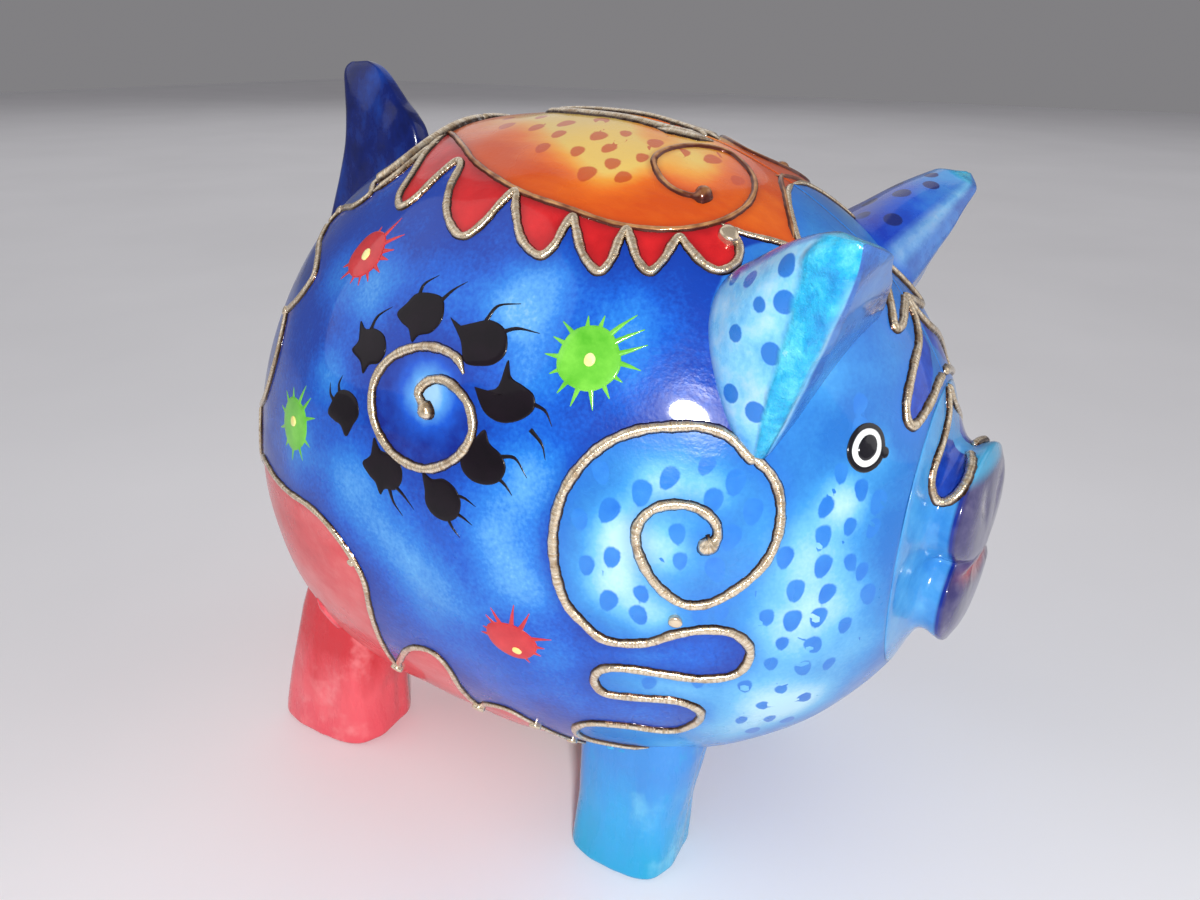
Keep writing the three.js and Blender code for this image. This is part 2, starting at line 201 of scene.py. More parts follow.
def add_field(obj, name, values):
    attribute = obj.data.attributes.new(name, "FLOAT", "POINT")
    attribute.data.foreach_set("value", np.asarray(values, dtype=np.float32).ravel())


def grid_faces(rows, columns):
    """Quads between rows of points that each close on themselves."""
    r = np.arange(rows - 1)[:, None]
    c = np.arange(columns)[None, :]
    d = (c + 1) % columns
    quads = np.stack([r * columns + c, r * columns + d, (r + 1) * columns + d, (r + 1) * columns + c], -1)
    return quads.reshape(-1, 4)


def face_outwards(obj):
    """Turns a closed mesh's faces outwards, by the sign of its volume."""
    bm = bmesh.new()
    bm.from_mesh(obj.data)
    bmesh.ops.recalc_face_normals(bm, faces=bm.faces)
    if bm.calc_volume(signed=True) < 0:
        bmesh.ops.reverse_faces(bm, faces=bm.faces)
    bm.to_mesh(obj.data)
    bm.free()


def lofted(name, rings, material):
    """Closed skin over rings of points, closed with a fan at each end."""
    rings = np.asarray(rings, float)
    rows, count = rings.shape[:2]
    verts = rings.reshape(-1, 3)
    faces = grid_faces(rows, count).tolist()
    for row in (0, rows - 1):
        hub = len(verts)
        verts = np.vstack([verts, rings[row].mean(0)])
        base = row * count
        faces += [[hub, base + i, base + (i + 1) % count] for i in range(count)]
    obj = new_object(name, verts, faces, material)
    face_outwards(obj)
    return obj


# ---------- materials ----------
def rgb(r, g, b):
    """A colour given as screen values from 0 to 255."""
    linear = [((c / 255 + 0.055) / 1.055) ** 2.4 if c > 10 else c / 255 / 12.92 for c in (r, g, b)]
    return (*linear, 1.0)


class Paint:
    """A node material that is built up from its parts."""

    def __init__(self, name, roughness=0.35, coat=0.6, coat_roughness=0.08, metallic=0.0):
        self.material = bpy.data.materials.new(name)
        self.material.use_nodes = True
        self.tree = self.material.node_tree
        self.shader = self.tree.nodes["Principled BSDF"]
        self.shader.inputs["Roughness"].default_value = roughness
        self.shader.inputs["Coat Weight"].default_value = coat
        self.shader.inputs["Coat Roughness"].default_value = coat_roughness
        self.shader.inputs["Metallic"].default_value = metallic
        self.shader.inputs["Specular IOR Level"].default_value = 0.2
        self.place = self.tree.nodes.new("ShaderNodeTexCoord").outputs["Object"]

    def put(self, socket, value):
        if isinstance(value, bpy.types.NodeSocket):
            self.tree.links.new(value, socket)
        elif value is not None:
            socket.default_value = value

    def node(self, kind):
        return self.tree.nodes.new("ShaderNode" + kind)

    def field(self, name):
        n = self.node("Attribute")
        n.attribute_name = name
        return n.outputs["Fac"]

    def up(self):
        """Height above the floor, in metres."""
        n = self.node("SeparateXYZ")
        self.put(n.inputs[0], self.place)
        return n.outputs["Z"]

    def math(self, kind, a, b=None):
        n = self.node("Math")
        n.operation = kind
        self.put(n.inputs[0], a)
        self.put(n.inputs[1], b)
        return n.outputs[0]

    def plus(self, value, other, amount):
        """value + other * amount"""
        return self.math("ADD", value, self.math("MULTIPLY", other, amount))

    def sway(self, value, noise, amount):
        """value, pushed up and down by a noise round 0.5"""
        return self.plus(value, self.math("SUBTRACT", noise, 0.5), amount)

    def step(self, value, low, high, to_low=0.0, to_high=1.0):
        n = self.node("MapRange")
        n.interpolation_type = "SMOOTHSTEP"
        self.put(n.inputs["Value"], value)
        for name, number in (("From Min", low), ("From Max", high), ("To Min", to_low), ("To Max", to_high)):
            n.inputs[name].default_value = number
        return n.outputs["Result"]

    def noise(self, scale, detail=3.0, roughness=0.5, stretch=(1, 1, 1), vector=None):
        m = self.node("Mapping")
        self.put(m.inputs["Vector"], vector or self.place)
        m.inputs["Scale"].default_value = stretch
        n = self.node("TexNoise")
        self.tree.links.new(m.outputs[0], n.inputs["Vector"])
        for name, number in (("Scale", scale), ("Detail", detail), ("Roughness", roughness)):
            n.inputs[name].default_value = number
        return n.outputs["Fac"]

    def mix(self, share, a, b):
        n = self.node("Mix")
        n.data_type = "RGBA"
        for name, value in (("Factor", share), ("A", a), ("B", b)):
            self.put(n.inputs[name], value)
        return n.outputs["Result"]

    def over(self, colour, field, paint, edge=0.2):
        """colour, with the paint laid over it where the field is above 0"""
        return self.mix(self.step(self.field(field), -edge, edge), colour, paint)

    def ramp(self, value, *stops):
        n = self.node("ValToRGB")
        self.put(n.inputs["Fac"], value)
        points = n.color_ramp.elements
        while len(points) < len(stops):
            points.new(0.5)
        for point, (at, colour) in zip(points, stops):
            point.position = at
            point.color = colour
        return n.outputs["Color"]

    def bump(self, height, distance, strength, after=None):
        n = self.node("Bump")
        n.inputs["Strength"].default_value = strength
        n.inputs["Distance"].default_value = distance
        self.put(n.inputs["Height"], height)
        self.put(n.inputs["Normal"], after)
        return n.outputs["Normal"]

    def finish(self, colour, normal=None, roughness=None):
        self.put(self.shader.inputs["Base Color"], colour)
        self.put(self.shader.inputs["Normal"], normal)
        self.put(self.shader.inputs["Roughness"], roughness)
        return self.material


def brushed_skin(p):
    """Slow hand-carved waves, brush strokes and dust under the varnish, as a normal."""
    waves = p.bump(p.noise(60, 2.0), 0.0012, 0.35)
    strokes = p.bump(p.noise(220, 4.0, 0.6, (1.0, 0.35, 1.0)), 0.0003, 0.5, waves)
    return p.bump(p.noise(1500, 2.0), 0.00012, 0.35, strokes)


def speckled(p, cloud, amount=0.35):
    """A cloud of sprayed paint: soft inside, grainy where it thins out."""
    grainy = p.sway(cloud, p.noise(1300, 1.0), amount)
    return p.sway(grainy, p.noise(75, 3.0, 0.6), 0.55)


def body_paint():
    """Every area of the body, laid over each other: blue, face, lobes, ring, rump, belly, tongues, saddle."""
    p = Paint("painted_body", roughness=0.34, coat=0.5, coat_roughness=0.06)
    cloud = speckled(p, p.field("cloud"))
    line = p.field("line")
    blue = p.ramp(
        cloud,
        (0.0, rgb(10, 60, 162)), (0.22, rgb(16, 88, 194)), (0.48, rgb(38, 122, 212)),
        (0.75, rgb(88, 160, 224)), (1.0, rgb(152, 200, 232)),
    )
    shade = p.math("MULTIPLY", p.step(line, 0.3, 5.0, 0.55, 0.0), p.step(cloud, 0.2, 0.8, 1.0, 0.4))
    blue = p.mix(shade, blue, rgb(10, 54, 156))
    face = p.ramp(
        speckled(p, p.field("cloud"), 0.18),
        (0.0, rgb(40, 112, 192)), (0.3, rgb(60, 144, 212)), (0.6, rgb(104, 180, 226)),
        (1.0, rgb(178, 220, 236)),
    )
    face = p.mix(p.step(line, 0.3, 4.5, 0.42, 0.0), face, rgb(44, 116, 212))
    colour = p.mix(p.step(p.field("light"), -0.35, 0.35), blue, face)
    dots = p.step(p.plus(p.field("dots"), p.noise(500, 2.0), 0.35), 0.0, 0.35)
    dot_colour = p.mix(p.noise(260, 2.0), rgb(22, 100, 200), rgb(60, 140, 214))
    colour = p.mix(p.math("MULTIPLY", dots, p.step(p.field("light"), 0.2, 0.6)), colour, dot_colour)
    lobe = p.ramp(p.noise(300, 3.0), (0.3, rgb(16, 48, 150)), (0.7, rgb(34, 84, 200)))
    colour = p.over(colour, "lobes", lobe)
    ring = p.ramp(
        p.plus(p.field("hook"), p.noise(420, 3.0), 0.3),
        (0.1, rgb(10, 34, 130)), (0.4, rgb(22, 84, 196)), (0.75, rgb(84, 154, 224)),
        (1.0, rgb(150, 196, 232)),
    )
    colour = p.over(colour, "ring", ring)
    rump = p.ramp(p.noise(80, 4.0, 0.6), (0.3, rgb(10, 36, 120)), (0.7, rgb(28, 84, 176)))
    colour = p.over(colour, "rump", rump)
    coral = p.ramp(
        p.plus(p.noise(55, 4.0, 0.6, (1, 0.5, 1)), p.noise(600, 2.0), 0.12),
        (0.3, rgb(196, 50, 56)), (0.52, rgb(218, 76, 80)), (0.75, rgb(230, 120, 120)),
    )
    coral = p.mix(p.step(line, 0.3, 3.5, 0.5, 0.0), coral, rgb(196, 44, 50))
    colour = p.over(colour, "coral", coral)
    red = p.ramp(p.noise(150, 3.0), (0.3, rgb(176, 20, 26)), (0.7, rgb(212, 34, 38)))
    red = p.mix(p.step(line, 0.2, 2.6, 0.6, 0.0), red, rgb(120, 10, 20))
    colour = p.over(colour, "tongue", red)
    orange = p.ramp(
        p.sway(p.field("sun"), p.noise(90, 5.0, 0.65, (1.0, 0.3, 1.0)), 0.8),
        (0.0, rgb(200, 76, 16)), (0.25, rgb(220, 104, 26)), (0.55, rgb(228, 152, 52)),
        (0.9, rgb(222, 186, 92)),
    )
    orange = p.mix(p.math("MULTIPLY", dots, 0.85), orange, rgb(186, 66, 22))
    orange = p.mix(p.step(line, 0.2, 2.2, 0.45, 0.0), orange, rgb(150, 52, 24))
    colour = p.over(colour, "saddle", orange)
    inside = p.ramp(p.noise(240, 4.0, 0.6, (4, 0.4, 4)), (0.2, rgb(150, 112, 74)), (0.8, rgb(196, 158, 112)))
    colour = p.mix(p.step(p.field("inside"), 0.3, 0.7), colour, inside)
    return p.finish(colour, brushed_skin(p), p.step(p.noise(90), 0.3, 0.7, 0.24, 0.4))


def gold_paint():
    """Champagne gold bead, crackled across, with dark brown in the creases beside it."""
    p = Paint("gold_line", roughness=0.28, coat=0.7, coat_roughness=0.08, metallic=0.8)
    along = p.node("CombineXYZ")
    p.put(along.inputs["X"], p.field("along"))
    p.put(along.inputs["Y"], p.field("across"))
    ripple = p.noise(1.1, 4.0, 0.65, (1.6, 0.35, 1), along.outputs[0])
    patch = p.noise(0.16, 3.0, 0.6, (1, 1, 1), along.outputs[0])
    gold = p.ramp(
        ripple, (0.28, rgb(142, 112, 80)), (0.42, rgb(206, 182, 148)), (0.6, rgb(242, 228, 204)),
        (0.8, rgb(254, 248, 234)),
    )
    gold = p.mix(p.step(patch, 0.5, 0.72, 0.0, 0.6), gold, rgb(134, 98, 62))
    edge = p.plus(p.math("ABSOLUTE", p.field("across")), ripple, 0.3)
    colour = p.mix(p.step(edge, 0.86, 1.12), gold, rgb(62, 38, 26))
    return p.finish(colour, p.bump(ripple, 0.0003, 0.55), p.step(ripple, 0.3, 0.7, 0.34, 0.18))


def thin_line_paint():
    """Narrow brown relief line, lighter along its crest and dark brown at its sides."""
    p = Paint("brown_line", roughness=0.3, coat=0.6, metallic=0.35)
    # random mottling of the crest's colour and of its bumps
    mottle = p.noise(260, 3.0)
    crest = p.ramp(mottle, (0.35, rgb(120, 62, 34)), (0.65, rgb(206, 150, 96)))
    colour = p.mix(p.step(p.math("ABSOLUTE", p.field("across")), 0.35, 0.8), crest, rgb(84, 34, 22))
    return p.finish(colour, p.bump(mottle, 0.0003, 0.5))


def plain_paint(name, dark, light, scale, roughness, coat):
    """One brushed colour with slight streaks."""
    p = Paint(name, roughness=roughness, coat=coat)
    streaks = p.noise(scale, 4.0, 0.6, (1, 0.6, 0.6))
    colour = p.ramp(streaks, (0.3, dark), (0.7, light))
    return p.finish(colour, p.bump(streaks, 0.00015, 0.6))


def wood(name, dark, light, roughness=0.55, coat=0.1):
    p = Paint(name, roughness=roughness, coat=coat)
    grain = p.noise(140, 6.0, 0.65, (1, 0.12, 1))
    pores = p.noise(900, 2.0, 0.5, (1, 0.1, 1))
    colour = p.ramp(p.plus(grain, pores, 0.2), (0.4, dark), (0.75, light))
    return p.finish(colour, p.bump(grain, 0.0003, 0.5))


# ---------- what is painted where: (mm from the middle towards the nose, degrees from the spine) ----------
SADDLE_LINE = [
    (-33, 5), (-28, 12), (-24, 14), (-14, 22), (-7, 27), (5, 32), (18, 34), (28, 34), (37, 31), (43, 25),
    (45, 17), (42.5, 9), (36, 4), (30.5, 7), (27, 12), (26, 17), (29, 21), (33, 23), (37, 22.5), (38.5, 20),
]
WEDGE_LINE = [(43, 26), (47, 25.5), (51, 23.5), (55.5, 20.5), (54, 17.5), (51, 12), (48.5, 6), (47.5, 0)]
WEDGE_SEAM = [(54, 19), (51.5, 14), (48.5, 8), (46, 3), (44.5, -2)]
TONGUE_LINE = [
    (-26, 12), (-25, 17), (-24, 23), (-22.5, 29), (-22, 34), (-19.5, 37), (-16.5, 35.5), (-14.5, 31),
    (-12.5, 26.5), (-10.5, 28), (-9.5, 33), (-7, 38), (-3, 41.5), (0, 42), (2.5, 39), (4, 35),
    (5.5, 32.5), (7.5, 36), (11.5, 41), (16, 43), (18, 41), (18.4, 37.5), (19, 35.2), (20.5, 37),
    (23.7, 41), (27.5, 43), (28.8, 40.5), (28.6, 36.5), (29, 34.4), (30.5, 36), (33, 39), (35.6, 40.2),
    (37, 37.5), (37.4, 34), (38, 32.3), (40, 33.5), (43.4, 35.2), (46.3, 35), (48, 32), (47.2, 28.5),
    (45, 27),
]
CHEEK_LINE = [
    (59.5, 64), (55, 61), (50.7, 60.8), (46.6, 62), (41.4, 64), (36.7, 67), (33, 71), (30.3, 76),
    (29.3, 82), (30, 88), (31.8, 93), (34.6, 96), (38.6, 99), (45.5, 99), (50.5, 97), (55.3, 96),
    (59.6, 97), (62.2, 101), (61.8, 105.5), (59.6, 108), (55.2, 108), (47.3, 106), (40.8, 105),
    (37, 106), (35.5, 109), (37.1, 112), (42.1, 113), (49.7, 114), (53.2, 117.5), (53.2, 121.5),
    (50.8, 124.5), (46.9, 126), (38.7, 123.5), (31.5, 123), (27.2, 127), (27.5, 132), (33, 136.5),
    (39.5, 139),
]
SPIRAL_LINE = [
    (58, 62.5), (61.9, 65), (64, 69), (64.7, 75), (63.7, 81), (60.9, 86), (56.6, 90), (52.8, 91),
    (49.5, 89.5), (46.1, 86), (43.7, 81.5), (43.5, 78), (45.8, 75), (49.6, 73.6), (52.8, 73.8),
    (55.2, 75.5), (55.8, 78), (54.6, 79.6), (53.2, 79),
]
FACE_EDGE = [
    (47.5, 0), (48.5, 6), (51, 12), (55.5, 20.5), (51, 24), (47.5, 30), (47, 36), (47, 42), (49, 48),
    (52, 55), (56, 61),
]
CORAL_LINE = [
    (-81, 84), (-72, 96), (-64, 88), (-55, 84), (-46, 86.5), (-38, 88), (-30, 89), (-24, 91), (-19, 95),
    (-16, 100), (-17, 107), (-19, 117), (-21, 127), (-17.5, 123), (-10, 115), (-3, 112.5), (0.5, 115.5),
    (0.5, 124), (1.5, 130), (6, 126.5), (12, 125), (16, 129), (21, 138), (25, 147), (26, 160), (20, 172),
    (17, 181),
]
RING_LINE = [
    (8.2, 62.5), (5.6, 60.3), (-0.8, 59.8), (-7.7, 62), (-11.4, 66), (-11, 71), (-7.4, 75), (-2.3, 77),
    (3.6, 77), (9.3, 74.3), (11.8, 70.5), (10.6, 67), (7.8, 65), (4.5, 64), (1.2, 64.6), (-0.7, 66.4),
    (0.4, 67.8), (1.6, 68.8), (1.6, 70.2),
]
TAIL_SCALLOPS = [
    [(-26, 12.5), (-28, 19), (-31, 25), (-35, 27.5), (-33, 31.5), (-37, 33), (-43, 31), (-47, 33)],
    [(-47, 33), (-45, 39), (-41, 44), (-39, 48.5), (-43, 52), (-49, 53)],
    [(-49, 53), (-47.5, 58), (-48.5, 64), (-53, 70), (-60, 72)],
    [(-60, 72), (-58, 78), (-60, 84), (-64, 88)],
]
FOREHEAD_DRIPS = [
    [(65.5, 0), (68.5, 6), (71, 12), (72.6, 16.5), (73.4, 13), (72.6, 6), (71.5, 0)],
    [(71.5, 0), (74.5, 3), (76.4, 10), (77.2, 22), (78, 34), (79.2, 37.5), (80.3, 34), (81, 22),
     (81, 12), (81, 2)],
    [(82.2, 1), (83.6, 8), (84.3, 24), (84.4, 41), (85.2, 46), (87.4, 46), (90, 41), (91, 31), (90.4, 18),
     (89, 6)],
]
LOBES = [
    [(74, 2), (76.3, 8), (77, 20), (77.8, 34), (79.2, 37), (80.3, 32), (80.8, 22), (80, 10), (78, 2)],
    [(84.5, 18), (84.7, 40), (85.6, 45), (87.6, 45), (90, 40), (90.8, 31), (90, 18), (88.5, 8), (85.5, 9)],
]
# clouds and suns: place, size in mm, strength
BLUE_CLOUDS = [
    (52, 102, 8, 0.3), (42, 118.5, 7, 0.3), (30, 112, 9, 0.3), (14, 112, 9, 0.22), (36, 131, 7, 0.3),
    (0, 104, 9, 0.2), (44, 102, 6, 0.25),
    (19, 49, 8, 0.8), (15, 52, 6, 0.5), (-18, 52, 8, 0.65), (-30, 50, 6, 0.35), (24, 74, 8, 0.8),
    (18, 84, 8, 0.7), (-16, 82, 9, 0.8), (36, 50, 7, 0.6), (23, 92, 8, 0.7), (2, 96, 10, 0.65),
    (-8, 90, 8, 0.55), (-24, 66, 6, 0.6), (2, 52, 7, 0.35), (22, 60, 7, 0.55), (12, 99, 7, 0.35),
    (-34, 78, 8, 0.5), (-62, 45, 12, 0.4), (-60, 62, 9, 0.5), (38, 58, 5, 0.3), (28, 104, 6, 0.35),
]
FACE_CLOUDS = [
    (41, 80, 6, 0.95), (40, 88, 6, 0.8), (46, 71, 6, 0.7), (49, 82, 5, 0.6), (54, 70, 5, 0.5),
    (47, 93, 6, 0.6), (69, 80, 9, 0.75), (68, 98, 9, 0.7), (73, 66, 5, 0.8), (75, 92, 7, 0.45),
    (64, 118, 10, 0.7), (50, 110, 9, 0.5), (66, 42, 6, 0.4), (70, 128, 9, 0.7), (58, 132, 9, 0.6),
    (78, 110, 7, 0.45), (60, 15, 9, 0.25), (42, 121, 7, 0.5), (44, 137, 7, 0.5), (76, 52, 4, 0.4),
]
SUN_SPOTS = [
    (-2, 4, 9, 0.65), (6, 9, 10, 0.8), (12, 13, 9, 0.8), (16, 18, 8, 0.7), (20, 23, 6, 0.6),
    (30, 11, 6, 0.5), (34, 15, 5, 0.6), (29, 5, 7, 0.55), (-14, 8, 9, 0.5), (24, 17, 6, 0.5),
]
CHEEK_DOTS = [
    (43.4, 73.2), (38.5, 76.8), (39.7, 84), (39.4, 91.5), (54.4, 72), (57.2, 68.2), (49.8, 78.5),
    (57.8, 77.8), (56.2, 84), (50.7, 83), (44.6, 93.5), (47.2, 70), (35.5, 86), (36.5, 71.5), (52.5, 66.5),
    (33.8, 79), (60.5, 72.5), (45, 89.5), (54.5, 93.3),
]
FACE_DOTS = [
    (70.7, 68.7), (71.2, 75.2), (74.6, 72), (77.9, 71.4), (75.7, 81.2), (71.8, 82.2), (73, 89.4), (68.4, 88),
    (72.2, 95.8), (76.2, 100.6), (68.4, 95.6), (75.1, 62.4), (77.8, 64), (71.8, 60.5), (67.2, 101.5),
    (71.9, 104.2), (74.2, 114), (70.5, 111.5), (65.6, 107), (67.1, 117), (70.4, 125.7), (64, 121.5),
    (61.5, 112.5), (64.6, 94), (66.9, 136.6), (57.6, 92.7), (54, 109.2), (45.5, 109), (66.2, 80.5),
    (71.8, 43.5), (72.8, 49), (60, 126), (61, 135), (49, 120), (43, 119.5), (64.5, 130), (77.5, 84), (79, 92),
]
SADDLE_DOTS = [
    (-14, 7), (-10, 13), (-5, 8), (-2, 14), (3.4, 11.5), (5, 16.5), (4.6, 21.5), (9.5, 8), (12, 21),
    (13, 15), (17, 11.5), (17, 18), (16.8, 26), (20, 22), (24, 18), (23.4, 24.5), (23.6, 12),
    (29.5, 12), (41, 13), (34.5, 10),
]


def region(points, closing=()):
    """A smooth line, closed through the given corners."""
    return smooth(points, 1.0).tolist() + list(closing)


def inside_outline(s, deg, outline):
    """True where (s, deg) is inside the closed outline."""
    ring = np.asarray(outline, float)
    hit = np.zeros(s.shape, bool)
    for (a, b), (c, d) in zip(ring, np.roll(ring, -1, 0)):
        if b == d:
            continue
        crosses = (b > deg) != (d > deg)
        hit ^= crosses & (s < (c - a) * (deg - b) / (d - b) + a)
    return hit


def nearest(points, lines):
    """Distance in millimetres from each point to the nearest of the 3-D lines."""
    marks = np.vstack(lines)
    tree = KDTree(len(marks))
    for i, p in enumerate(marks):
        tree.insert(p, i)
    tree.balance()
    return np.array([tree.find(p)[2] for p in points])


def fine(points):
    """The 3-D points of a painted line, close together."""
    curve = smooth(points, 0.35)
    return skin(curve[:, 0], curve[:, 1])


def signed(points, s, deg, outline):
    """Millimetres inside (positive) or outside (negative) an outline."""
    ring = np.asarray(outline, float)
    ring = np.vstack([ring, ring[:1]])
    steps = [
        a + (b - a) * t for a, b in zip(ring[:-1], ring[1:])
        for t in np.linspace(0, 1, max(2, int(np.linalg.norm(b - a) / 0.4)), endpoint=False)
    ]
    edge = np.asarray(steps)
    distance = nearest(points, [skin(edge[:, 0], edge[:, 1])])
    return np.where(inside_outline(s, deg, outline), distance, -distance)


def spots(points, marks):
    """Sum of soft round spots."""
    total = np.zeros(len(points))
    for s, deg, size, weight in marks:
        centre = skin(s, deg)
        total += weight * np.exp(-((points - centre) ** 2).sum(1) / size**2)
    return total


def dot_field(points, marks, length, width, seed):
    """Millimetres inside the nearest painted dot. The dots are ovals of uneven size."""
    rng = np.random.default_rng(seed)
    best = np.full(len(points), -9.0)
    for s, deg in marks:
        size = rng.uniform(0.8, 1.2)
        tilt = math.radians(rng.uniform(-25, 25))
        along, down = frame_at(s, deg)
        major = down * math.cos(tilt) + along * math.sin(tilt)
        minor = along * math.cos(tilt) - down * math.sin(tilt)
        offset = points - skin(s, deg)
        u = offset @ major / (length * size)
        v = offset @ minor / (width * size)
        w = np.linalg.norm(offset, axis=1)
        inside = (1 - np.sqrt(u**2 + v**2 * (1 + 0.5 * u))) * width * size
        best = np.maximum(best, np.where(w < 8, inside, -9.0))
    return best


def frame_at(s, deg):
    """Unit directions on the surface: towards the nose, and away from the spine."""
    n = skin_normal(s, deg)
    along = skin(s + 0.5, deg) - skin(s - 0.5, deg)
    along = along - n * (along @ n)
    along = along / np.linalg.norm(along)
    down = skin(s, deg + 0.5) - skin(s, deg - 0.5)
    down = down - n * (down @ n) - along * (down @ along)
    return along, down / np.linalg.norm(down)


# ---------- the two glued halves of the body ----------
def even_stations(low, high, step):
    """Places along the body at even steps over its curved top."""
    s = np.linspace(low, high, 4000)
    length = np.concatenate([[0], np.cumsum(np.hypot(np.diff(s), np.diff(half_height(s))))])
    count = int(length[-1] / step)
    return np.interp(np.linspace(0, length[-1], count), length, s)


def circle_half(s, radius):
    return np.sqrt(np.clip(radius**2 - s**2, 0, None))


def section_angles(half, width_top, width_low, count):
    """Degrees of a section's points, from the slot's edge down to the stopper hole's edge."""
    reach = np.maximum(RATIO * half, 1e-6)
    first = np.degrees(np.arcsin(np.clip(width_top / reach, 0, 1)))
    last = 180 - np.degrees(np.arcsin(np.clip(width_low / reach, 0, 1)))
    t = np.linspace(0, 1, count)[None, :]
    return first[:, None] * (1 - t) + last[:, None] * t


def body_half_mesh():
    """The right half: outer skin, cavity, seam faces, and its share of the slot and the stopper's hole."""
    step = 0.85
    columns = int(217 / step)
    hole = HOLE_RADIUS * np.cos(np.radians(np.linspace(0, 180, 37)))
    slot = SLOT_MIDDLE + SLOT_HALF_LENGTH * np.cos(np.radians(np.linspace(0, 180, 19)))
    s = np.unique(np.round(np.concatenate([even_stations(-REAR, NOSE_CUT, step), hole, slot]), 3))
    # the flat nose cut is closed by rings that shrink to its middle
    caps = np.linspace(0.9, 0.0, 5)
    shrink = np.concatenate([np.ones(len(s)), caps])
    s = np.concatenate([s, np.full(len(caps), NOSE_CUT)])
    across = np.clip(1 - ((s - SLOT_MIDDLE) / SLOT_HALF_LENGTH) ** 2, 0, None) ** 0.35
    top = np.maximum(SEAM, SLOT_HALF_WIDTH * across)
    head_width = circle_half(s, HOLE_RADIUS)
    shank_width = circle_half(s, SHANK_HOLE_RADIUS)

    deg = section_angles(half_height(s), top, np.maximum(SEAM, head_width), columns)
    outer = raw_skin(s[:, None], deg)
    hub = np.array([-SEAM, MIDDLE_Y - NOSE_CUT, float(centre_height(np.array(NOSE_CUT)))])
    outer = hub + (outer - hub) * shrink[:, None, None]
    outer[:, :, 0] = np.minimum(outer[:, :, 0], -0.0)

    s_in = np.interp(s, [-REAR, -25, 30, NOSE_CUT], [-CAVITY_REAR, -25, 30, CAVITY_FRONT])
    half_in = half_height(s_in, CAVITY_HALF, CAVITY_FRONT, CAVITY_REAR)
    turn = np.radians(section_angles(half_in, top, np.maximum(SEAM, shank_width), 31))
    inner = np.stack(
        [-RATIO * half_in[:, None] * np.sin(turn),
         np.broadcast_to((MIDDLE_Y - s_in)[:, None], turn.shape),
         centre_height(s_in)[:, None] + half_in[:, None] * np.cos(turn)], -1,
    )
    # seam faces: from the outer edge to the cavity's edge, above and below
    above = [outer[:, 0] * (1 - t) + inner[:, 0] * t for t in (0.25, 0.5, 0.75)]
    in_hole = (np.abs(s) < HOLE_RADIUS) & (shrink == 1)
    shoulder = np.maximum(SHOULDER_LOW, outer[in_hole, -1, 2] + 0.2)
    below = []
    for t, width, level in (
        (0.4, head_width, shoulder), (0.5, shank_width, shoulder), (0.7, shank_width, SHOULDER_HIGH),
    ):
        edge = outer[:, -1] * (1 - t) + inner[:, -1] * t
        edge[in_hole, 0] = -np.maximum(SEAM, width[in_hole])
        edge[in_hole, 2] = level
        below.append(edge)
    loop = np.concatenate(
        [outer, np.stack(below, 1), inner[:, ::-1], np.stack(above[::-1], 1)], axis=1,
    )
    rows, count = loop.shape[:2]
    is_inside = np.zeros((rows, count))
    is_inside[:, columns:] = 1.0
    stations = np.repeat(s, count)
    degrees = np.zeros((rows, count))
    degrees[:, :columns] = deg
    return loop.reshape(-1, 3), grid_faces(rows, count), stations, degrees.ravel(), is_inside.ravel()


def body_fields(points, s, deg, inside):
    """What the paint reads at every point: distances inside each painted area, clouds and dots."""
    saddle = region(SADDLE_LINE[:10]) + region(WEDGE_LINE[1:], [(44, -8), (-36, -8)])
    tongue = region(TONGUE_LINE, [(44, 25), (43, -8), (-26, -8)])
    face = region(FACE_EDGE) + region(CHEEK_LINE[1:], [(45, 150), (50, 190), (95, 190), (95, -8), (46, -8)])
    coral = region(CORAL_LINE, [(17, 190), (-90, 190), (-90, 84)])
    ring = region(RING_LINE[:13])
    rump = [m for k in TAIL_SCALLOPS for m in region(k)] + [(-90, 88), (-90, -8), (-26, -8)]
    lines = [fine(k) for k in (SADDLE_LINE, WEDGE_LINE, TONGUE_LINE, CHEEK_LINE, SPIRAL_LINE, CORAL_LINE,
                               RING_LINE)]
    lines += [fine(k) for k in TAIL_SCALLOPS + FOREHEAD_DRIPS[:2]]
    outer = inside < 0.5
    p, a, b = points[outer], s[outer], deg[outer]
    fields = {
        "saddle": signed(p, a, b, saddle),
        "tongue": signed(p, a, b, tongue),
        "light": signed(p, a, b, face),
        "coral": signed(p, a, b, coral),
        "ring": signed(p, a, b, ring),
        "rump": signed(p, a, b, rump),
        "lobes": np.maximum(signed(p, a, b, LOBES[0]), signed(p, a, b, LOBES[1])),
        "line": nearest(p, lines),
        "hook": spots(p, [(1.5, 66.5, 5.2, 1.0)]),
        "sun": spots(p, SUN_SPOTS),
    }
    clouds = np.minimum(spots(p, BLUE_CLOUDS) * 0.82, 0.72)
    fields["cloud"] = np.where(fields["light"] > 0, spots(p, FACE_CLOUDS), clouds)
    warm = dot_field(p, SADDLE_DOTS, 1.9, 1.5, 3)
    cool = dot_field(p, CHEEK_DOTS + FACE_DOTS, 2.1, 1.45, 4)
    fields["dots"] = np.maximum(warm, cool)
    full = {}
    for name, values in fields.items():
        whole = np.zeros(len(points))
        whole[outer] = values
        full[name] = whole
    full["inside"] = inside
    return full


def weld(obj):
    """Joins the points that meet where a section closes."""
    bm = bmesh.new()
    bm.from_mesh(obj.data)
    bmesh.ops.remove_doubles(bm, verts=bm.verts, dist=0.02 * MM)
    bmesh.ops.dissolve_degenerate(bm, dist=0.002 * MM, edges=bm.edges)
    bm.to_mesh(obj.data)
    bm.free()


SIDES = (("right", 1.0), ("left", -1.0))
FLIP = {"right": np.array([1.0, 1.0, 1.0]), "left": np.array([-1.0, 1.0, 1.0])}

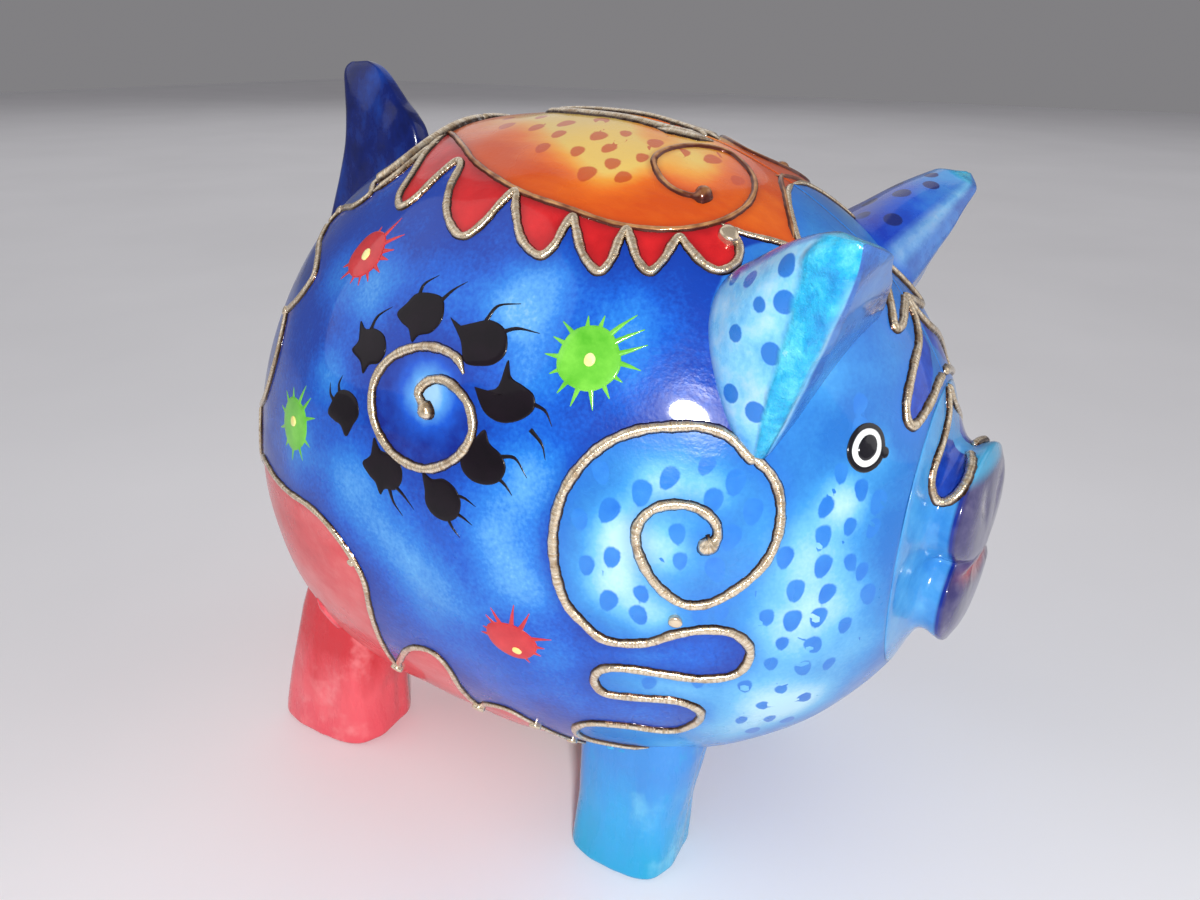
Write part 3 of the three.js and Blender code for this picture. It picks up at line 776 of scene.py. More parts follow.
BODY = body_paint()
GOLD = gold_paint()
shell, shell_faces, shell_s, shell_deg, shell_inside = body_half_mesh()
shell_fields = body_fields(shell, shell_s, shell_deg, shell_inside)
for side, _ in SIDES:
    body = new_object("body_half_" + side, shell * FLIP[side], shell_faces, BODY)
    for field_name, field_values in shell_fields.items():
        add_field(body, field_name, field_values)
    weld(body)
    face_outwards(body)
    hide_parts("body_" + side + "_half")
    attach(body, "pig")


# ---------- relief lines and painted shapes that lie on the skin ----------
class Heap:
    """Several closed little meshes that become one piece on each side of the pig."""

    def __init__(self):
        self.verts, self.faces, self.across, self.along = [], [], [], []
        self.size = 0

    def add(self, verts, faces, across=0.0, along=0.0):
        """Adds a mesh, and returns the number of its first point."""
        start, count = self.size, len(verts)
        self.verts.append(np.asarray(verts, float))
        self.faces += (np.asarray(faces) + start).tolist()
        for store, value in ((self.across, across), (self.along, along)):
            store.append(np.broadcast_to(value, (count,)).astype(float))
        self.size += count
        return start

    def make(self, name, material, body="pig"):
        for side, sign in SIDES:
            verts = np.vstack(self.verts) * FLIP[side]
            faces = self.faces if sign > 0 else [f[::-1] for f in self.faces]
            obj = new_object(name + "_" + side, verts, faces, material)
            add_field(obj, "across", np.concatenate(self.across))
            add_field(obj, "along", np.concatenate(self.along))
            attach(obj, body)


def walked(points):
    """Length walked along a line of points, up to each of them."""
    return np.concatenate([[0], np.cumsum(np.linalg.norm(np.diff(points, axis=0), axis=1))])


# one cross-section of a piped bead: across the line and up from the skin, as shares of its size
BEAD = np.array([
    (1.14, 0.0), (1.02, 0.12), (0.92, 0.38), (0.68, 0.76), (0.36, 0.95), (0.0, 1.0), (-0.36, 0.95),
    (-0.68, 0.76), (-0.92, 0.38), (-1.02, 0.12), (-1.14, 0.0), (-1.0, -0.6), (1.0, -0.6),
])
FLAT = np.array([(1.0, 0.0), (0.8, 0.9), (0.0, 1.0), (-0.8, 0.9), (-1.0, 0.0), (-0.9, -2.0), (0.9, -2.0)])
PAINT_THICKNESS = 0.16


def sweep(heap, points, normals, half_width, height, sizes, profile=BEAD):
    """A closed bead along 3-D points. sizes scales it from place to place."""
    points = np.asarray(points, float)
    tangent = np.gradient(points, axis=0)
    tangent /= np.maximum(np.linalg.norm(tangent, axis=1, keepdims=True), 1e-9)
    side = np.cross(normals, tangent)
    side /= np.maximum(np.linalg.norm(side, axis=1, keepdims=True), 1e-9)
    up = np.cross(tangent, side)
    up *= np.sign((up * normals).sum(1, keepdims=True))
    length = walked(points)
    wave = 1 + 0.07 * np.sin(length * 0.9) + 0.05 * np.sin(length * 2.3 + 1) + 0.03 * np.sin(length * 5.1)
    rings = (
        points[:, None]
        + side[:, None] * (profile[None, :, 0:1] * (half_width * sizes * wave)[:, None, None])
        + up[:, None] * (profile[None, :, 1:2] * (height * sizes)[:, None, None])
    )
    rows, count = rings.shape[:2]
    verts = np.vstack([rings.reshape(-1, 3), rings[0].mean(0), rings[-1].mean(0)])
    across = np.concatenate([np.tile(profile[:, 0], rows), [0, 0]])
    along = np.concatenate([np.repeat(length, count), [0, length[-1]]])
    start = heap.add(verts, grid_faces(rows, count), across, along)
    first, last = start + len(verts) - 2, start + len(verts) - 1
    base = start + (rows - 1) * count
    heap.faces += [[first, start + (i + 1) % count, start + i] for i in range(count)]
    heap.faces += [[last, base + i, base + (i + 1) % count] for i in range(count)]


def line(heap, marks, half_width, height, ends=("point", "point"), ball=1.9):
    """A bead over (s, degrees) marks. Each end is a point, a round end or a ball."""
    curve = smooth(marks, 0.45)
    points = skin(curve[:, 0], curve[:, 1])
    normals = skin_normal(curve[:, 0], curve[:, 1])
    length = walked(points)
    sizes = np.ones(len(points))
    for end, reach in zip(ends, (length, length[-1] - length)):
        if end == "point":
            sizes *= np.clip(0.25 + reach / 4.0, 0, 1)
        elif end == "round":
            sizes *= np.sqrt(np.clip(reach / 0.9 + 0.05, 0, 1))
        elif end == "ball":
            grow = ball * np.sqrt(np.clip(1 - (np.clip(reach, 0, 3.6) / 1.8 - 1) ** 2, 0.01, 1))
            sizes = np.maximum(sizes * np.clip(reach / 0.8, 0.1, 1), np.where(reach < 3.6, grow, 0))
    sweep(heap, points, normals, half_width, height, sizes)


def flat_place(s, deg, u, v, out):
    """Points u towards the nose and v away from the spine, in mm, laid onto the skin."""
    along, down = frame_at(s, deg)
    flat = skin(s, deg) + np.asarray(u)[..., None] * along + np.asarray(v)[..., None] * down
    place, turn = to_skin(flat)
    return skin(place, turn, np.broadcast_to(out, place.shape))


def patch(heap, s, deg, outline, out=PAINT_THICKNESS):
    """A thin island of paint: the outline is in mm round (s, deg), and can be seen from its middle."""
    ring = smooth(outline, 0.5, closed=True)
    middle = ring.mean(0)
    layers = [(0.02, -0.5), (0.5, -0.5), (1.0, -0.5), (1.0, 0.0), (0.985, out * 0.7), (0.94, out)]
    layers += [(0.75, out * 1.1), (0.5, out * 1.2), (0.25, out * 1.2), (0.02, out * 1.2)]
    rings = [
        flat_place(s, deg, *(middle + (ring - middle) * size).T, height) for size, height in layers
    ]
    count = len(ring)
    start = heap.add(np.vstack(rings), grid_faces(len(rings), count))
    last = start + (len(rings) - 1) * count
    heap.faces.append([start + i for i in range(count)][::-1])
    heap.faces.append([last + i for i in range(count)])


def stroke(heap, s, deg, path, width):
    """A brush stroke that runs out to a point."""
    curve = smooth(path, 0.35)
    points = flat_place(s, deg, curve[:, 0], curve[:, 1], 0.0)
    place, turn = to_skin(points)
    share = np.linspace(1, 0.12, len(points)) ** 0.9
    sweep(heap, points, skin_normal(place, turn), width * 0.5, PAINT_THICKNESS, share, FLAT)


def oval(width, height, tilt=0.0, wobble=0.0, count=28, seed=1.0):
    """A slightly uneven oval, with tilt in degrees."""
    turn = np.linspace(0, 2 * math.pi, count, endpoint=False)
    swing = 1 + wobble * (np.sin(3 * turn + seed) + 0.6 * np.sin(5 * turn + 2.3 * seed))
    u, v = width * np.cos(turn) * swing, height * np.sin(turn) * swing
    c, d = math.cos(math.radians(tilt)), math.sin(math.radians(tilt))
    return np.stack([u * c - v * d, u * d + v * c], -1)


# gold relief on the body
gold_lines = {
    "gold_tongues": [(TONGUE_LINE, 0.85, 0.8, ("point", "round"))],
    "gold_cheek": [(CHEEK_LINE, 0.95, 0.85, ("round", "point")), (SPIRAL_LINE, 0.9, 0.85, ("point", "ball"))],
    "gold_belly": [(CORAL_LINE, 0.75, 0.7, ("point", "point"))],
    "gold_flower_ring": [(RING_LINE, 0.9, 0.85, ("point", "ball"))],
    "gold_tail_scallops": [(k, 0.8, 0.8, ("round", "round")) for k in TAIL_SCALLOPS],
    "gold_forehead": [(k, 0.95, 0.9, ("round", "round")) for k in FOREHEAD_DRIPS],
    "gold_slot_rim": [
        ([(-9, 0.2), (-5.5, 1.9), (0, 3.4), (10, 3.9), (20, 3.5), (26, 2.4), (28.5, 0.3)], 1.4, 0.9,
         ("point", "point")),
        ([(20, 4.6), (24, 4.3), (28, 3.2), (31, 1.6)], 1.6, 0.8, ("point", "point")),
    ],
    "gold_tail_rope": [
        ([(-34, 27.5), (-30, 25.5), (-27.5, 21), (-26, 15), (-26, 8), (-26.5, 0)], 1.5, 1.6,
         ("round", "round")),
        ([(-33, 31), (-29, 29), (-26, 24.5), (-24, 18)], 0.9, 0.9, ("point", "point")),
    ],
}
for name, rows in gold_lines.items():
    heap = Heap()
    for marks, half_width, height, ends in rows:
        line(heap, marks, half_width, height, ends)
    heap.make(name, GOLD)

# little blobs where the gold ran together
GOLD_BLOBS = [
    (50.5, 94, 1.3), (-21.5, 128, 1.5), (1.5, 130.5, 1.6), (16.5, 130, 1.4), (-18.5, 97, 0.9),
    (45, 28, 1.9), (-44, 31, 1.1), (-49, 53, 1.2), (21.5, 139, 1.2),
]
heap = Heap()
for s, deg, size in GOLD_BLOBS:
    patch(heap, s, deg, oval(size, size * 0.85, 20, 0.03), out=size * 0.75)
heap.make("gold_blobs", GOLD)

# fine brown relief that edges the saddle
BROWN = thin_line_paint()
heap = Heap()
line(heap, SADDLE_LINE, 0.6, 0.55, ("point", "ball"), ball=3.2)
line(heap, WEDGE_SEAM, 0.55, 0.5)
heap.make("saddle_piping", BROWN)
heap = Heap()
line(heap, WEDGE_LINE, 0.65, 0.6)
heap.make("saddle_front_edge", GOLD)

# flower: eight dark petals with horns and whiskers round the gold ring
PETALS = [
    ((-3.4, 55),
     [(-6, 1), (-4.3, -1.2), (-2.8, -3.2), (0, -3.8), (3, -3.4), (4.2, -1.5), (4.4, 1), (2.8, 3.4),
      (0.2, 4.4), (-1, 5.8), (-2.4, 3.6), (-4.4, 2.6)],
     [[(-2, -3), (-1.6, -5.3), (1, -7.5)], [(3, -2.6), (5, -5.2), (7.4, -7.2)]]),
    ((10.5, 57.5),
     [(-8, -3.2), (-5.9, -2), (-3, -3), (0.4, -4.2), (3.8, -3), (5.1, 0.6), (3.6, 3.1), (0.8, 4.2),
      (-2.6, 4.2), (-4.5, 0.6)],
     [[(-0.5, -3.8), (1, -7), (5.2, -8.3)], [(3.3, -2.6), (6.1, -3.8), (10.4, -3.8)]]),
    ((17.5, 65),
     [(-6.8, -1.4), (-5.6, 0), (-4.2, -1.2), (-2.1, -2.5), (-1.4, -7.4), (0, -4.6), (2.6, -3.6), (5, -2.4),
      (5.6, 0), (3.3, 2.5), (-0.4, 3.7), (-4, 2.5)],
     [[(4.8, -0.9), (7.6, -0.2), (9.4, 2.2)], [(5.6, 3.6), (8.1, 5.6), (9.2, 8.2)]]),
    ((15, 74),
     [(-0.9, -5.8), (0.6, -3.6), (3, -2.2), (4.4, 0), (3.6, 2.6), (1.2, 4), (-2, 4), (-4.4, 2.4),
      (-5, -0.4), (-3.2, -2.8)],
     [[(2.8, -1.6), (5.9, -2), (8.6, 1)], [(3, 2.2), (4.6, 3.2), (6.1, 4.8)]]),
    ((6.8, 81),
     [(-4.8, -4.2), (-2.6, -3.4), (0, -4), (2.6, -2.8), (4, -0.4), (3.4, 2.6), (1, 4.2), (-2, 3.8),
      (-3.9, 1.8), (-4.2, -1)],
     [[(2.4, -1.3), (4.6, -1.4), (7.2, -0.3)], [(2.4, 2), (4.4, 2.4), (6.6, 3.5)],
      [(1.2, 3.4), (2.2, 5), (4, 6.8)]]),
    ((-7.1, 79),
     [(-3, -5.8), (-1.2, -3.6), (1.6, -3.4), (4, -1.6), (4.2, 1.4), (2.4, 3.6), (-0.2, 4), (-1.4, 5.4),
      (-2.6, 3.2), (-4.2, 2), (-5.9, -0.2), (-3.8, -2.2)],
     [[(1, 3.6), (2, 6.2), (4.1, 8.6)], [(2.6, 2.8), (4.6, 4.2), (7, 6.6)]]),
    ((-19, 71),
     [(-4.6, 1.5), (-3.4, -1), (-1.8, -3), (1, -3.4), (3.6, -2), (4.4, 0.8), (3, 3), (1, 5.6),
      (-0.6, 3.6), (-2.8, 2.8)],
     [[(-3, -1), (-4.2, -2.4), (-4.4, -4.4)], [(-1.4, -2.6), (-1.8, -4.4), (-1, -6.2)]]),
    ((-14.4, 61),
     [(-3.8, -4.4), (-2, -3), (0.6, -3.2), (3.4, -2), (4.4, 0.8), (3, 3.2), (0.6, 3.8), (-0.8, 5.6),
      (-2, 3.4), (-4.8, 1.4), (-3.4, -0.6)],
     [[(-0.5, -2.8), (0.6, -5.6), (4, -7.8)]]),
]
PETAL = plain_paint("petal_paint", rgb(7, 2, 9), rgb(20, 8, 20), 240, 0.4, 0.2)
heap = Heap()
for (s, deg), outline, whiskers in PETALS:
    patch(heap, s, deg, outline)
    for path in whiskers:
        stroke(heap, s, deg, path, 0.85)
heap.make("flower_petals", PETAL)


def splat(heap, s, deg, width, height, tilt, spikes, seed):
    """An oval drop with spikes: (direction in degrees, length, bend) each."""
    patch(heap, s, deg, oval(width, height, tilt, 0.025, 30, seed))
    for angle, length, bend in spikes:
        a = math.radians(angle)
        reach = np.array([width * math.cos(a), -height * math.sin(a)]) * 0.86
        out = reach / np.linalg.norm(reach)
        curl = np.array([-out[1], out[0]]) * bend
        tip = reach + out * (length + 0.8)
        stroke(heap, s, deg, [reach, reach + out * length * 0.55 + curl * 0.6, tip + curl * 1.6], 1.1)


GREEN_SPIKES = [
    (8, 3.6, 0.5), (24, 4.6, -0.6), (48, 5.0, 0.4), (66, 5.4, 0.7), (88, 2.2, 0), (112, 1.8, 0.2),
    (140, 2.6, -0.3), (165, 2.0, 0), (192, 2.4, 0.3), (215, 1.8, 0), (242, 2.4, 0), (268, 3.0, 0.3),
    (292, 3.2, 0), (318, 2.2, 0.2), (342, 1.6, 0),
]
SIDE_SPIKES = [
    (15, 3.2, 0.4), (38, 3.6, 0), (62, 4.0, 0.5), (95, 2.0, 0), (125, 2.4, 0), (158, 2.0, 0.3),
    (190, 2.2, 0), (225, 1.6, 0), (258, 2.6, 0.3), (290, 2.4, 0), (325, 2.0, 0),
]
RUBY_SPIKES = [
    (30, 4.6, 0.3), (52, 5.2, -0.3), (5, 2.2, 0), (78, 1.6, 0), (205, 1.6, 0.2), (228, 2.8, 0.4),
    (252, 1.8, 0), (272, 2.0, 0), (292, 1.8, 0), (318, 1.8, 0), (345, 1.6, 0),
]
LOW_SPIKES = [
    (128, 2.2, 0), (112, 3.4, 0), (84, 4.8, 0.2), (62, 4.4, -0.3), (24, 3.4, 0.5), (355, 1.4, 0),
    (330, 1.2, 0), (178, 1.2, 0), (296, 1.4, 0), (158, 1.0, 0),
]
GREEN = plain_paint("green_splat_paint", rgb(84, 176, 40), rgb(124, 208, 70), 300, 0.28, 0.7)
RED = plain_paint("red_splat_paint", rgb(186, 30, 40), rgb(214, 54, 58), 300, 0.28, 0.7)
YELLOW = plain_paint("pale_yellow_paint", rgb(238, 224, 120), rgb(252, 244, 176), 500, 0.3, 0.6)
heap = Heap()
splat(heap, 30.5, 56, 5.6, 5.8, 10, GREEN_SPIKES, 1.0)
splat(heap, -35, 75, 5.2, 5.6, 0, SIDE_SPIKES, 2.0)
heap.make("green_splats", GREEN)
heap = Heap()
splat(heap, -23, 46, 5.4, 4.6, -52, RUBY_SPIKES, 3.0)
splat(heap, 20, 102.5, 5.4, 4.4, 14, LOW_SPIKES, 4.0)
heap.make("red_splats", RED)
YELLOW_DOTS = [(30.8, 56.2, 1.2, 0), (-35, 74.6, 1.1, 0), (-22.8, 46.2, 1.3, 20), (21, 104.2, 0.75, 20)]
heap = Heap()
for s, deg, height, tilt in YELLOW_DOTS:
    patch(heap, s, deg, oval(1.0, height, tilt, 0.02), out=0.42)
heap.make("yellow_dots", YELLOW)

# eyes: black oval, white ring, black pupil
BLACK = plain_paint("eye_black", rgb(12, 12, 18), rgb(26, 24, 32), 400, 0.22, 0.9)
WHITE = plain_paint("eye_white", rgb(226, 230, 228), rgb(246, 248, 244), 400, 0.3, 0.7)
EYE = (74.3, 52)
EYE_LAYERS = [
    ("eye_rim", BLACK, 4.0, 4.6, 0.18), ("eye_ring", WHITE, 3.05, 3.6, 0.34),
    ("eye_pupil", BLACK, 1.95, 2.5, 0.52),
]
for name, material, width, height, out in EYE_LAYERS:
    heap = Heap()
    patch(heap, *EYE, oval(width, height, 8, 0.012), out=out)
    if name == "eye_rim":
        patch(heap, EYE[0] + 2.6, EYE[1] - 1.5, oval(1.0, 1.1), out=0.2)
    heap.make(name, material)


# ---------- ears ----------
EAR_FOOT = [
    (47.5, 36), (47, 42), (48.5, 48), (52, 55), (56, 61), (60, 63.5), (63.2, 56), (65.2, 48), (66.8, 40),
    (68.2, 32), (69.5, 24), (70, 17), (66, 12), (60, 15.5), (54.5, 23), (50.5, 30),
]
EAR_TIP = np.array([-45.0, MIDDLE_Y - 73, 150.0])
EAR_REACH = 14.0
EAR_TIP_SIZE = (4.2, 1.8)
EAR_FREE_CORNER = (60, 62.5)
EAR_BACK_CORNER = (66, 12)
EAR_TOP_CORNER = (47, 39)


def even_loop(points, count):
    """A closed line, as points at even steps round it."""
    closed = np.vstack([points, points[:1]])
    walk = walked(closed)
    at = np.linspace(0, walk[-1], count, endpoint=False)
    return np.stack([np.interp(at, walk, closed[:, k]) for k in range(closed.shape[1])], -1)


def ear_mesh(count=120, steps=44):
    """A thick leaf whose foot follows the head, with its tip forward and outward."""
    foot_marks = even_loop(smooth(EAR_FOOT, 0.25, closed=True), count)
    foot = skin(foot_marks[:, 0], foot_marks[:, 1])
    root = skin(foot_marks[:, 0], foot_marks[:, 1], -6.0)
    middle = foot.mean(0)
    lean = (EAR_TIP - middle) / np.linalg.norm(EAR_TIP - middle)
    along = np.array([0.0, -1.0, 0.0])
    along = along - lean * (along @ lean)
    along /= np.linalg.norm(along)
    across = np.cross(lean, along)
    rings, heights = [root], [-0.2]
    offset = foot - middle
    u = np.clip(offset @ along / EAR_REACH, -1, 1)[:, None]
    v = np.clip(offset @ across / EAR_REACH, -1, 1)[:, None]
    tip = EAR_TIP + u * along * EAR_TIP_SIZE[0] + v * across * EAR_TIP_SIZE[1]
    for t in np.linspace(0, 1, steps):
        close = math.sin(math.pi / 2 * min(1.0, (1 - t) * 6 + 0.15))
        axis = middle * (1 - t) + EAR_TIP * t
        point = foot * (1 - t) + tip * t
        rings.append(axis + (point - axis) * (1 + 0.1 * math.sin(math.pi * t)) * close)
        heights.append(t)
    rings = np.array(rings)
    # knife waves
    out = rings - rings.mean(1, keepdims=True)
    out /= np.maximum(np.linalg.norm(out, axis=2, keepdims=True), 1e-6)
    wave = 0.22 * np.sin(rings[..., 1] * 0.5 + rings[..., 2] * 0.33) + 0.14 * np.sin(rings[..., 2] * 0.9 + 1.0)
    rings = rings + out * wave[..., None] * np.clip(np.array(heights)[:, None, None] * 5, 0, 1)
    angle = np.arange(count) / count

    def share_of(corner):
        gap = np.hypot(foot_marks[:, 0] - corner[0], (foot_marks[:, 1] - corner[1]) * 0.9)
        return angle[int(np.argmin(gap))]

    corners = (share_of(EAR_FREE_CORNER), share_of(EAR_BACK_CORNER), share_of(EAR_TOP_CORNER))
    return rings, np.array(heights), [(angle - corner + 0.5) % 1 - 0.5 for corner in corners]


def ear_paint():
    """Pale outside, dark inside, and a lumpy turquoise band along the free edge and the tip."""
    p = Paint("ear_paint", roughness=0.3, coat=0.55, coat_roughness=0.08)
    blot = p.noise(110, 5.0, 0.65)
    outer = p.ramp(
        p.plus(blot, p.noise(800, 2.0), 0.15),
        (0.35, rgb(70, 160, 226)), (0.55, rgb(128, 200, 240)), (0.8, rgb(188, 220, 238)),
    )
    turquoise = p.ramp(
        p.noise(190, 6.0, 0.7), (0.3, rgb(16, 130, 196)), (0.5, rgb(36, 172, 220)),
        (0.68, rgb(92, 206, 232)), (0.8, rgb(190, 236, 244)),
    )
    inner = p.ramp(
        p.sway(p.field("height"), blot, 0.9),
        (0.0, rgb(18, 52, 168)), (0.45, rgb(30, 88, 200)), (1.0, rgb(74, 160, 224)),
    )
    outer = p.mix(p.step(p.field("dots"), -0.1, 0.25), outer, rgb(46, 120, 204))
    inner = p.mix(p.step(p.field("dots"), -0.1, 0.25), inner, rgb(14, 36, 112))
    colour = p.mix(p.field("inner"), outer, inner)
    edge = p.sway(p.field("band"), blot, 0.5)
    colour = p.mix(p.step(edge, 0.35, 0.7), colour, turquoise)
    shaded = p.ramp(blot, (0.3, rgb(52, 84, 160)), (0.6, rgb(72, 128, 200)), (0.85, rgb(118, 160, 206)))
    colour = p.mix(p.field("front"), colour, shaded)
    colour = p.mix(p.field("back"), colour, rgb(74, 76, 156))
    colour = p.mix(p.step(p.field("height"), 0.0, 0.09, 0.5, 0.0), colour, rgb(24, 84, 190))
    lumps = p.math("MULTIPLY", p.noise(420, 5.0, 0.7), p.step(edge, 0.3, 0.8))
    normal = p.bump(lumps, 0.0011, 0.8, brushed_skin(p))
    return p.finish(colour, normal, p.step(blot, 0.3, 0.7, 0.2, 0.38))


# places on the ear: share of the way round the foot from the free corner, height, size in mm
OUTER_DOTS = [
    (-0.05, 0.22, 2.0), (-0.08, 0.45, 2.0), (-0.1, 0.1, 1.8), (-0.13, 0.62, 2.0), (-0.16, 0.28, 1.6),
    (-0.17, 0.5, 1.4), (-0.21, 0.7, 2.0), (-0.23, 0.4, 1.7), (-0.11, 0.82, 1.6), (-0.26, 0.2, 1.5),
]
INNER_DOTS = [
    (0.5, 0.22, 2.1), (-0.44, 0.42, 2.1), (-0.38, 0.2, 2.0), (-0.35, 0.5, 2.0), (-0.47, 0.65, 1.9),
    (-0.4, 0.75, 1.6), (-0.31, 0.32, 1.9), (-0.43, 0.08, 1.8),
]

rings, heights, (from_free, from_back, from_top) = ear_mesh()
rows, count = rings.shape[:2]
dots = np.full((rows, count), -5.0)
for around, height, size in OUTER_DOTS + INNER_DOTS:
    row = int(np.argmin(np.abs(heights - height)))
    column = int(np.argmin(np.abs((from_free - around + 0.5) % 1 - 0.5)))
    dots = np.maximum(dots, size - np.linalg.norm(rings - rings[row, column], axis=2))
tall = np.broadcast_to(heights[:, None], (rows, count))
free = np.broadcast_to(from_free[None, :], (rows, count))
width = np.linalg.norm(rings - np.roll(rings, 1, axis=1), axis=2).sum(1)[:, None]
from_edge = free * width
strip = 2.5 + 8.5 * np.clip(tall, 0, 1)
band = np.clip(1.2 - np.abs(from_edge + strip * 0.4) / (strip * 0.6), 0, 1)
band = np.maximum(band, np.clip((tall - 0.8) / 0.15, 0, 1))
back = np.clip(1 - np.abs(from_back[None, :] * width) / 2.0, 0, 1) * np.clip(1.2 - tall, 0, 1) * 0.55
past_back = np.broadcast_to(from_back[None, :], tall.shape)
past_top = np.broadcast_to(from_top[None, :], tall.shape)
is_inner = np.clip(past_back / 0.02, 0, 1) * np.clip(-past_top / 0.02, 0, 1)
is_front = np.clip((free - 0.01) / 0.02, 0, 1) * np.clip(-past_back / 0.02, 0, 1)
EAR = ear_paint()
EAR_FIELDS = {
    "dots": dots, "height": tall, "band": band, "back": back, "inner": is_inner, "front": is_front,
}
for side, _ in SIDES:
    ear = lofted("ear_flap_" + side, rings * FLIP[side], EAR)
    for name, values in EAR_FIELDS.items():
        add_field(ear, name, np.append(values, [0, 0]))
    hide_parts("ear_" + side)
    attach(ear, "pig")

# ---------- legs ----------
# height, middle across, middle along, half width, half length
FRONT_LEG = [
    (0, 32, 33, 11, 12), (1.2, 32, 33, 12, 13), (14, 30.5, 33.5, 11, 12.8), (30, 28, 34, 11.5, 14.3),
    (50, 24, 34, 10, 13),
]
REAR_LEG = [
    (0, 32, -58.5, 12, 16), (1.2, 32, -58.5, 13, 17), (14, 31, -57.8, 12, 15.6),
    (35, 28, -54, 12, 14.2), (66, 23, -47, 10, 12),
]
# the rounded edge of the sole: height, share of the section's size
SOLE = [(0.0, 0.86), (0.12, 0.93), (0.45, 0.975), (0.9, 0.995)]
SOLE_TOP = 1.4
LEG_POWER = 3.2


def leg_rings(sections, top, phase, count=96, steps=64):
    """Knife-flattened stub legs: a squarish section with soft corners and shallow cuts down its sides."""
    table = np.array(sections, float)
    rise = np.linspace(0, 1, steps) ** 1.15
    turn = np.linspace(0, 2 * math.pi, count, endpoint=False)
    cos, sin = np.cos(turn), np.sin(turn)
    radius = (np.abs(cos) ** LEG_POWER + np.abs(sin) ** LEG_POWER) ** (-1 / LEG_POWER)
    facets = 1 - 0.02 * np.abs(np.sin(4 * turn + 0.6 + phase)) ** 6
    rings = []
    for level, scale in SOLE + [(z, 1.0) for z in SOLE_TOP + (top - SOLE_TOP) * rise]:
        x, s, half_x, half_y = (np.interp(level, table[:, 0], table[:, k]) for k in (1, 2, 3, 4))
        if level < SOLE_TOP:
            half_x, half_y = table[1, 3], table[1, 4]
        cut = 0.006 * np.sin(7 * turn + level * 0.21 + phase) + 0.004 * np.sin(11 * turn - level * 0.34)
        reach = radius * scale * (facets + cut - 0.006)
        rings.append(np.stack([
            -(x + half_x * cos * reach), MIDDLE_Y - (s + half_y * sin * reach), np.full(count, level),
        ], -1))
    return np.array(rings)


def leg_paint(name, low, middle, high, glow):
    """Streaked paint that changes colour up the leg, with brighter patches."""
    p = Paint(name, roughness=0.3, coat=0.55, coat_roughness=0.08)
    streaks = p.noise(120, 5.0, 0.65, (1, 1, 0.3))
    level = p.plus(p.math("MULTIPLY", p.up(), 26), streaks, 0.7)
    colour = p.ramp(p.math("SUBTRACT", level, 0.3), (0.05, low), (0.42, middle), (0.8, high))
    patches = p.step(p.noise(70, 4.0, 0.6), 0.5, 0.72, 0.0, 0.65)
    colour = p.mix(patches, colour, glow)
    colour = p.mix(p.step(p.noise(260, 5.0, 0.7, (1, 1, 0.4)), 0.58, 0.7, 0.0, 0.35), colour, low)
    grain = p.bump(p.noise(200, 4.0, 0.6, (1, 1, 0.2)), 0.0005, 0.6, brushed_skin(p))
    return p.finish(colour, grain, p.step(streaks, 0.3, 0.7, 0.2, 0.36))


FRONT_PAINT = leg_paint(
    "front_leg_paint", rgb(22, 160, 206), rgb(56, 160, 222), rgb(64, 140, 214), rgb(120, 204, 234),
)
REAR_PAINT = leg_paint(
    "rear_leg_paint", rgb(234, 84, 98), rgb(238, 96, 106), rgb(206, 44, 54), rgb(248, 150, 152),
)
for pair, sections, top, paint, slot_name in (
    ("front", FRONT_LEG, 44, FRONT_PAINT, "front_leg_paint"),
    ("rear", REAR_LEG, 52, REAR_PAINT, "rear_leg_paint"),
):
    for side, sign in SIDES:
        rings = leg_rings(sections, top, 0.0 if sign > 0 else 1.3)
        leg = lofted(f"leg_{pair}_stub_{side}", rings * FLIP[side], paint)
        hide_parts(f"leg_{pair}_{side}")
        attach(leg, "pig")

# runs of paint that set where the legs meet the belly
DRIP = plain_paint("leg_drip_paint", rgb(206, 40, 56), rgb(240, 100, 110), 260, 0.2, 0.9)
heap = Heap()
line(heap, [(-43, 116), (-42.5, 120), (-42, 124), (-42, 127)], 0.8, 0.9, ("point", "round"))
heap.make("rear_leg_drip", DRIP)
BLUE_DRIP = plain_paint("blue_drip_paint", rgb(26, 120, 206), rgb(70, 180, 228), 260, 0.2, 0.9)
heap = Heap()
for s, deg, size in ((33.5, 141, 1.8), (36.5, 141.5, 1.3), (30.5, 140.5, 1.2)):
    patch(heap, s, deg, oval(size, size * 0.8, 10, 0.03), out=size * 0.7)
heap.make("front_leg_drip", BLUE_DRIP)

# ---------- tail ----------
# front and rear edge of the fin, at matching heights: (y from the body's middle, z)
FIN = [
    ((55, 112), (77, 99)), ((48, 128), (79.8, 110)), ((43.5, 142), (79.2, 120)), ((43.2, 150), (77.2, 128)),
    ((44.3, 156), (73.8, 136)), ((46.5, 159.3), (70.6, 143.5)), ((49, 161.8), (67.8, 151.5)),
    ((51, 164.4), (66.7, 158.5)), ((53.2, 167.2), (66.6, 164)), ((55.2, 169.2), (66.6, 167.8)),
    ((57, 170.2), (65.8, 169.6)), ((59, 170.8), (64.4, 170.5)),
]


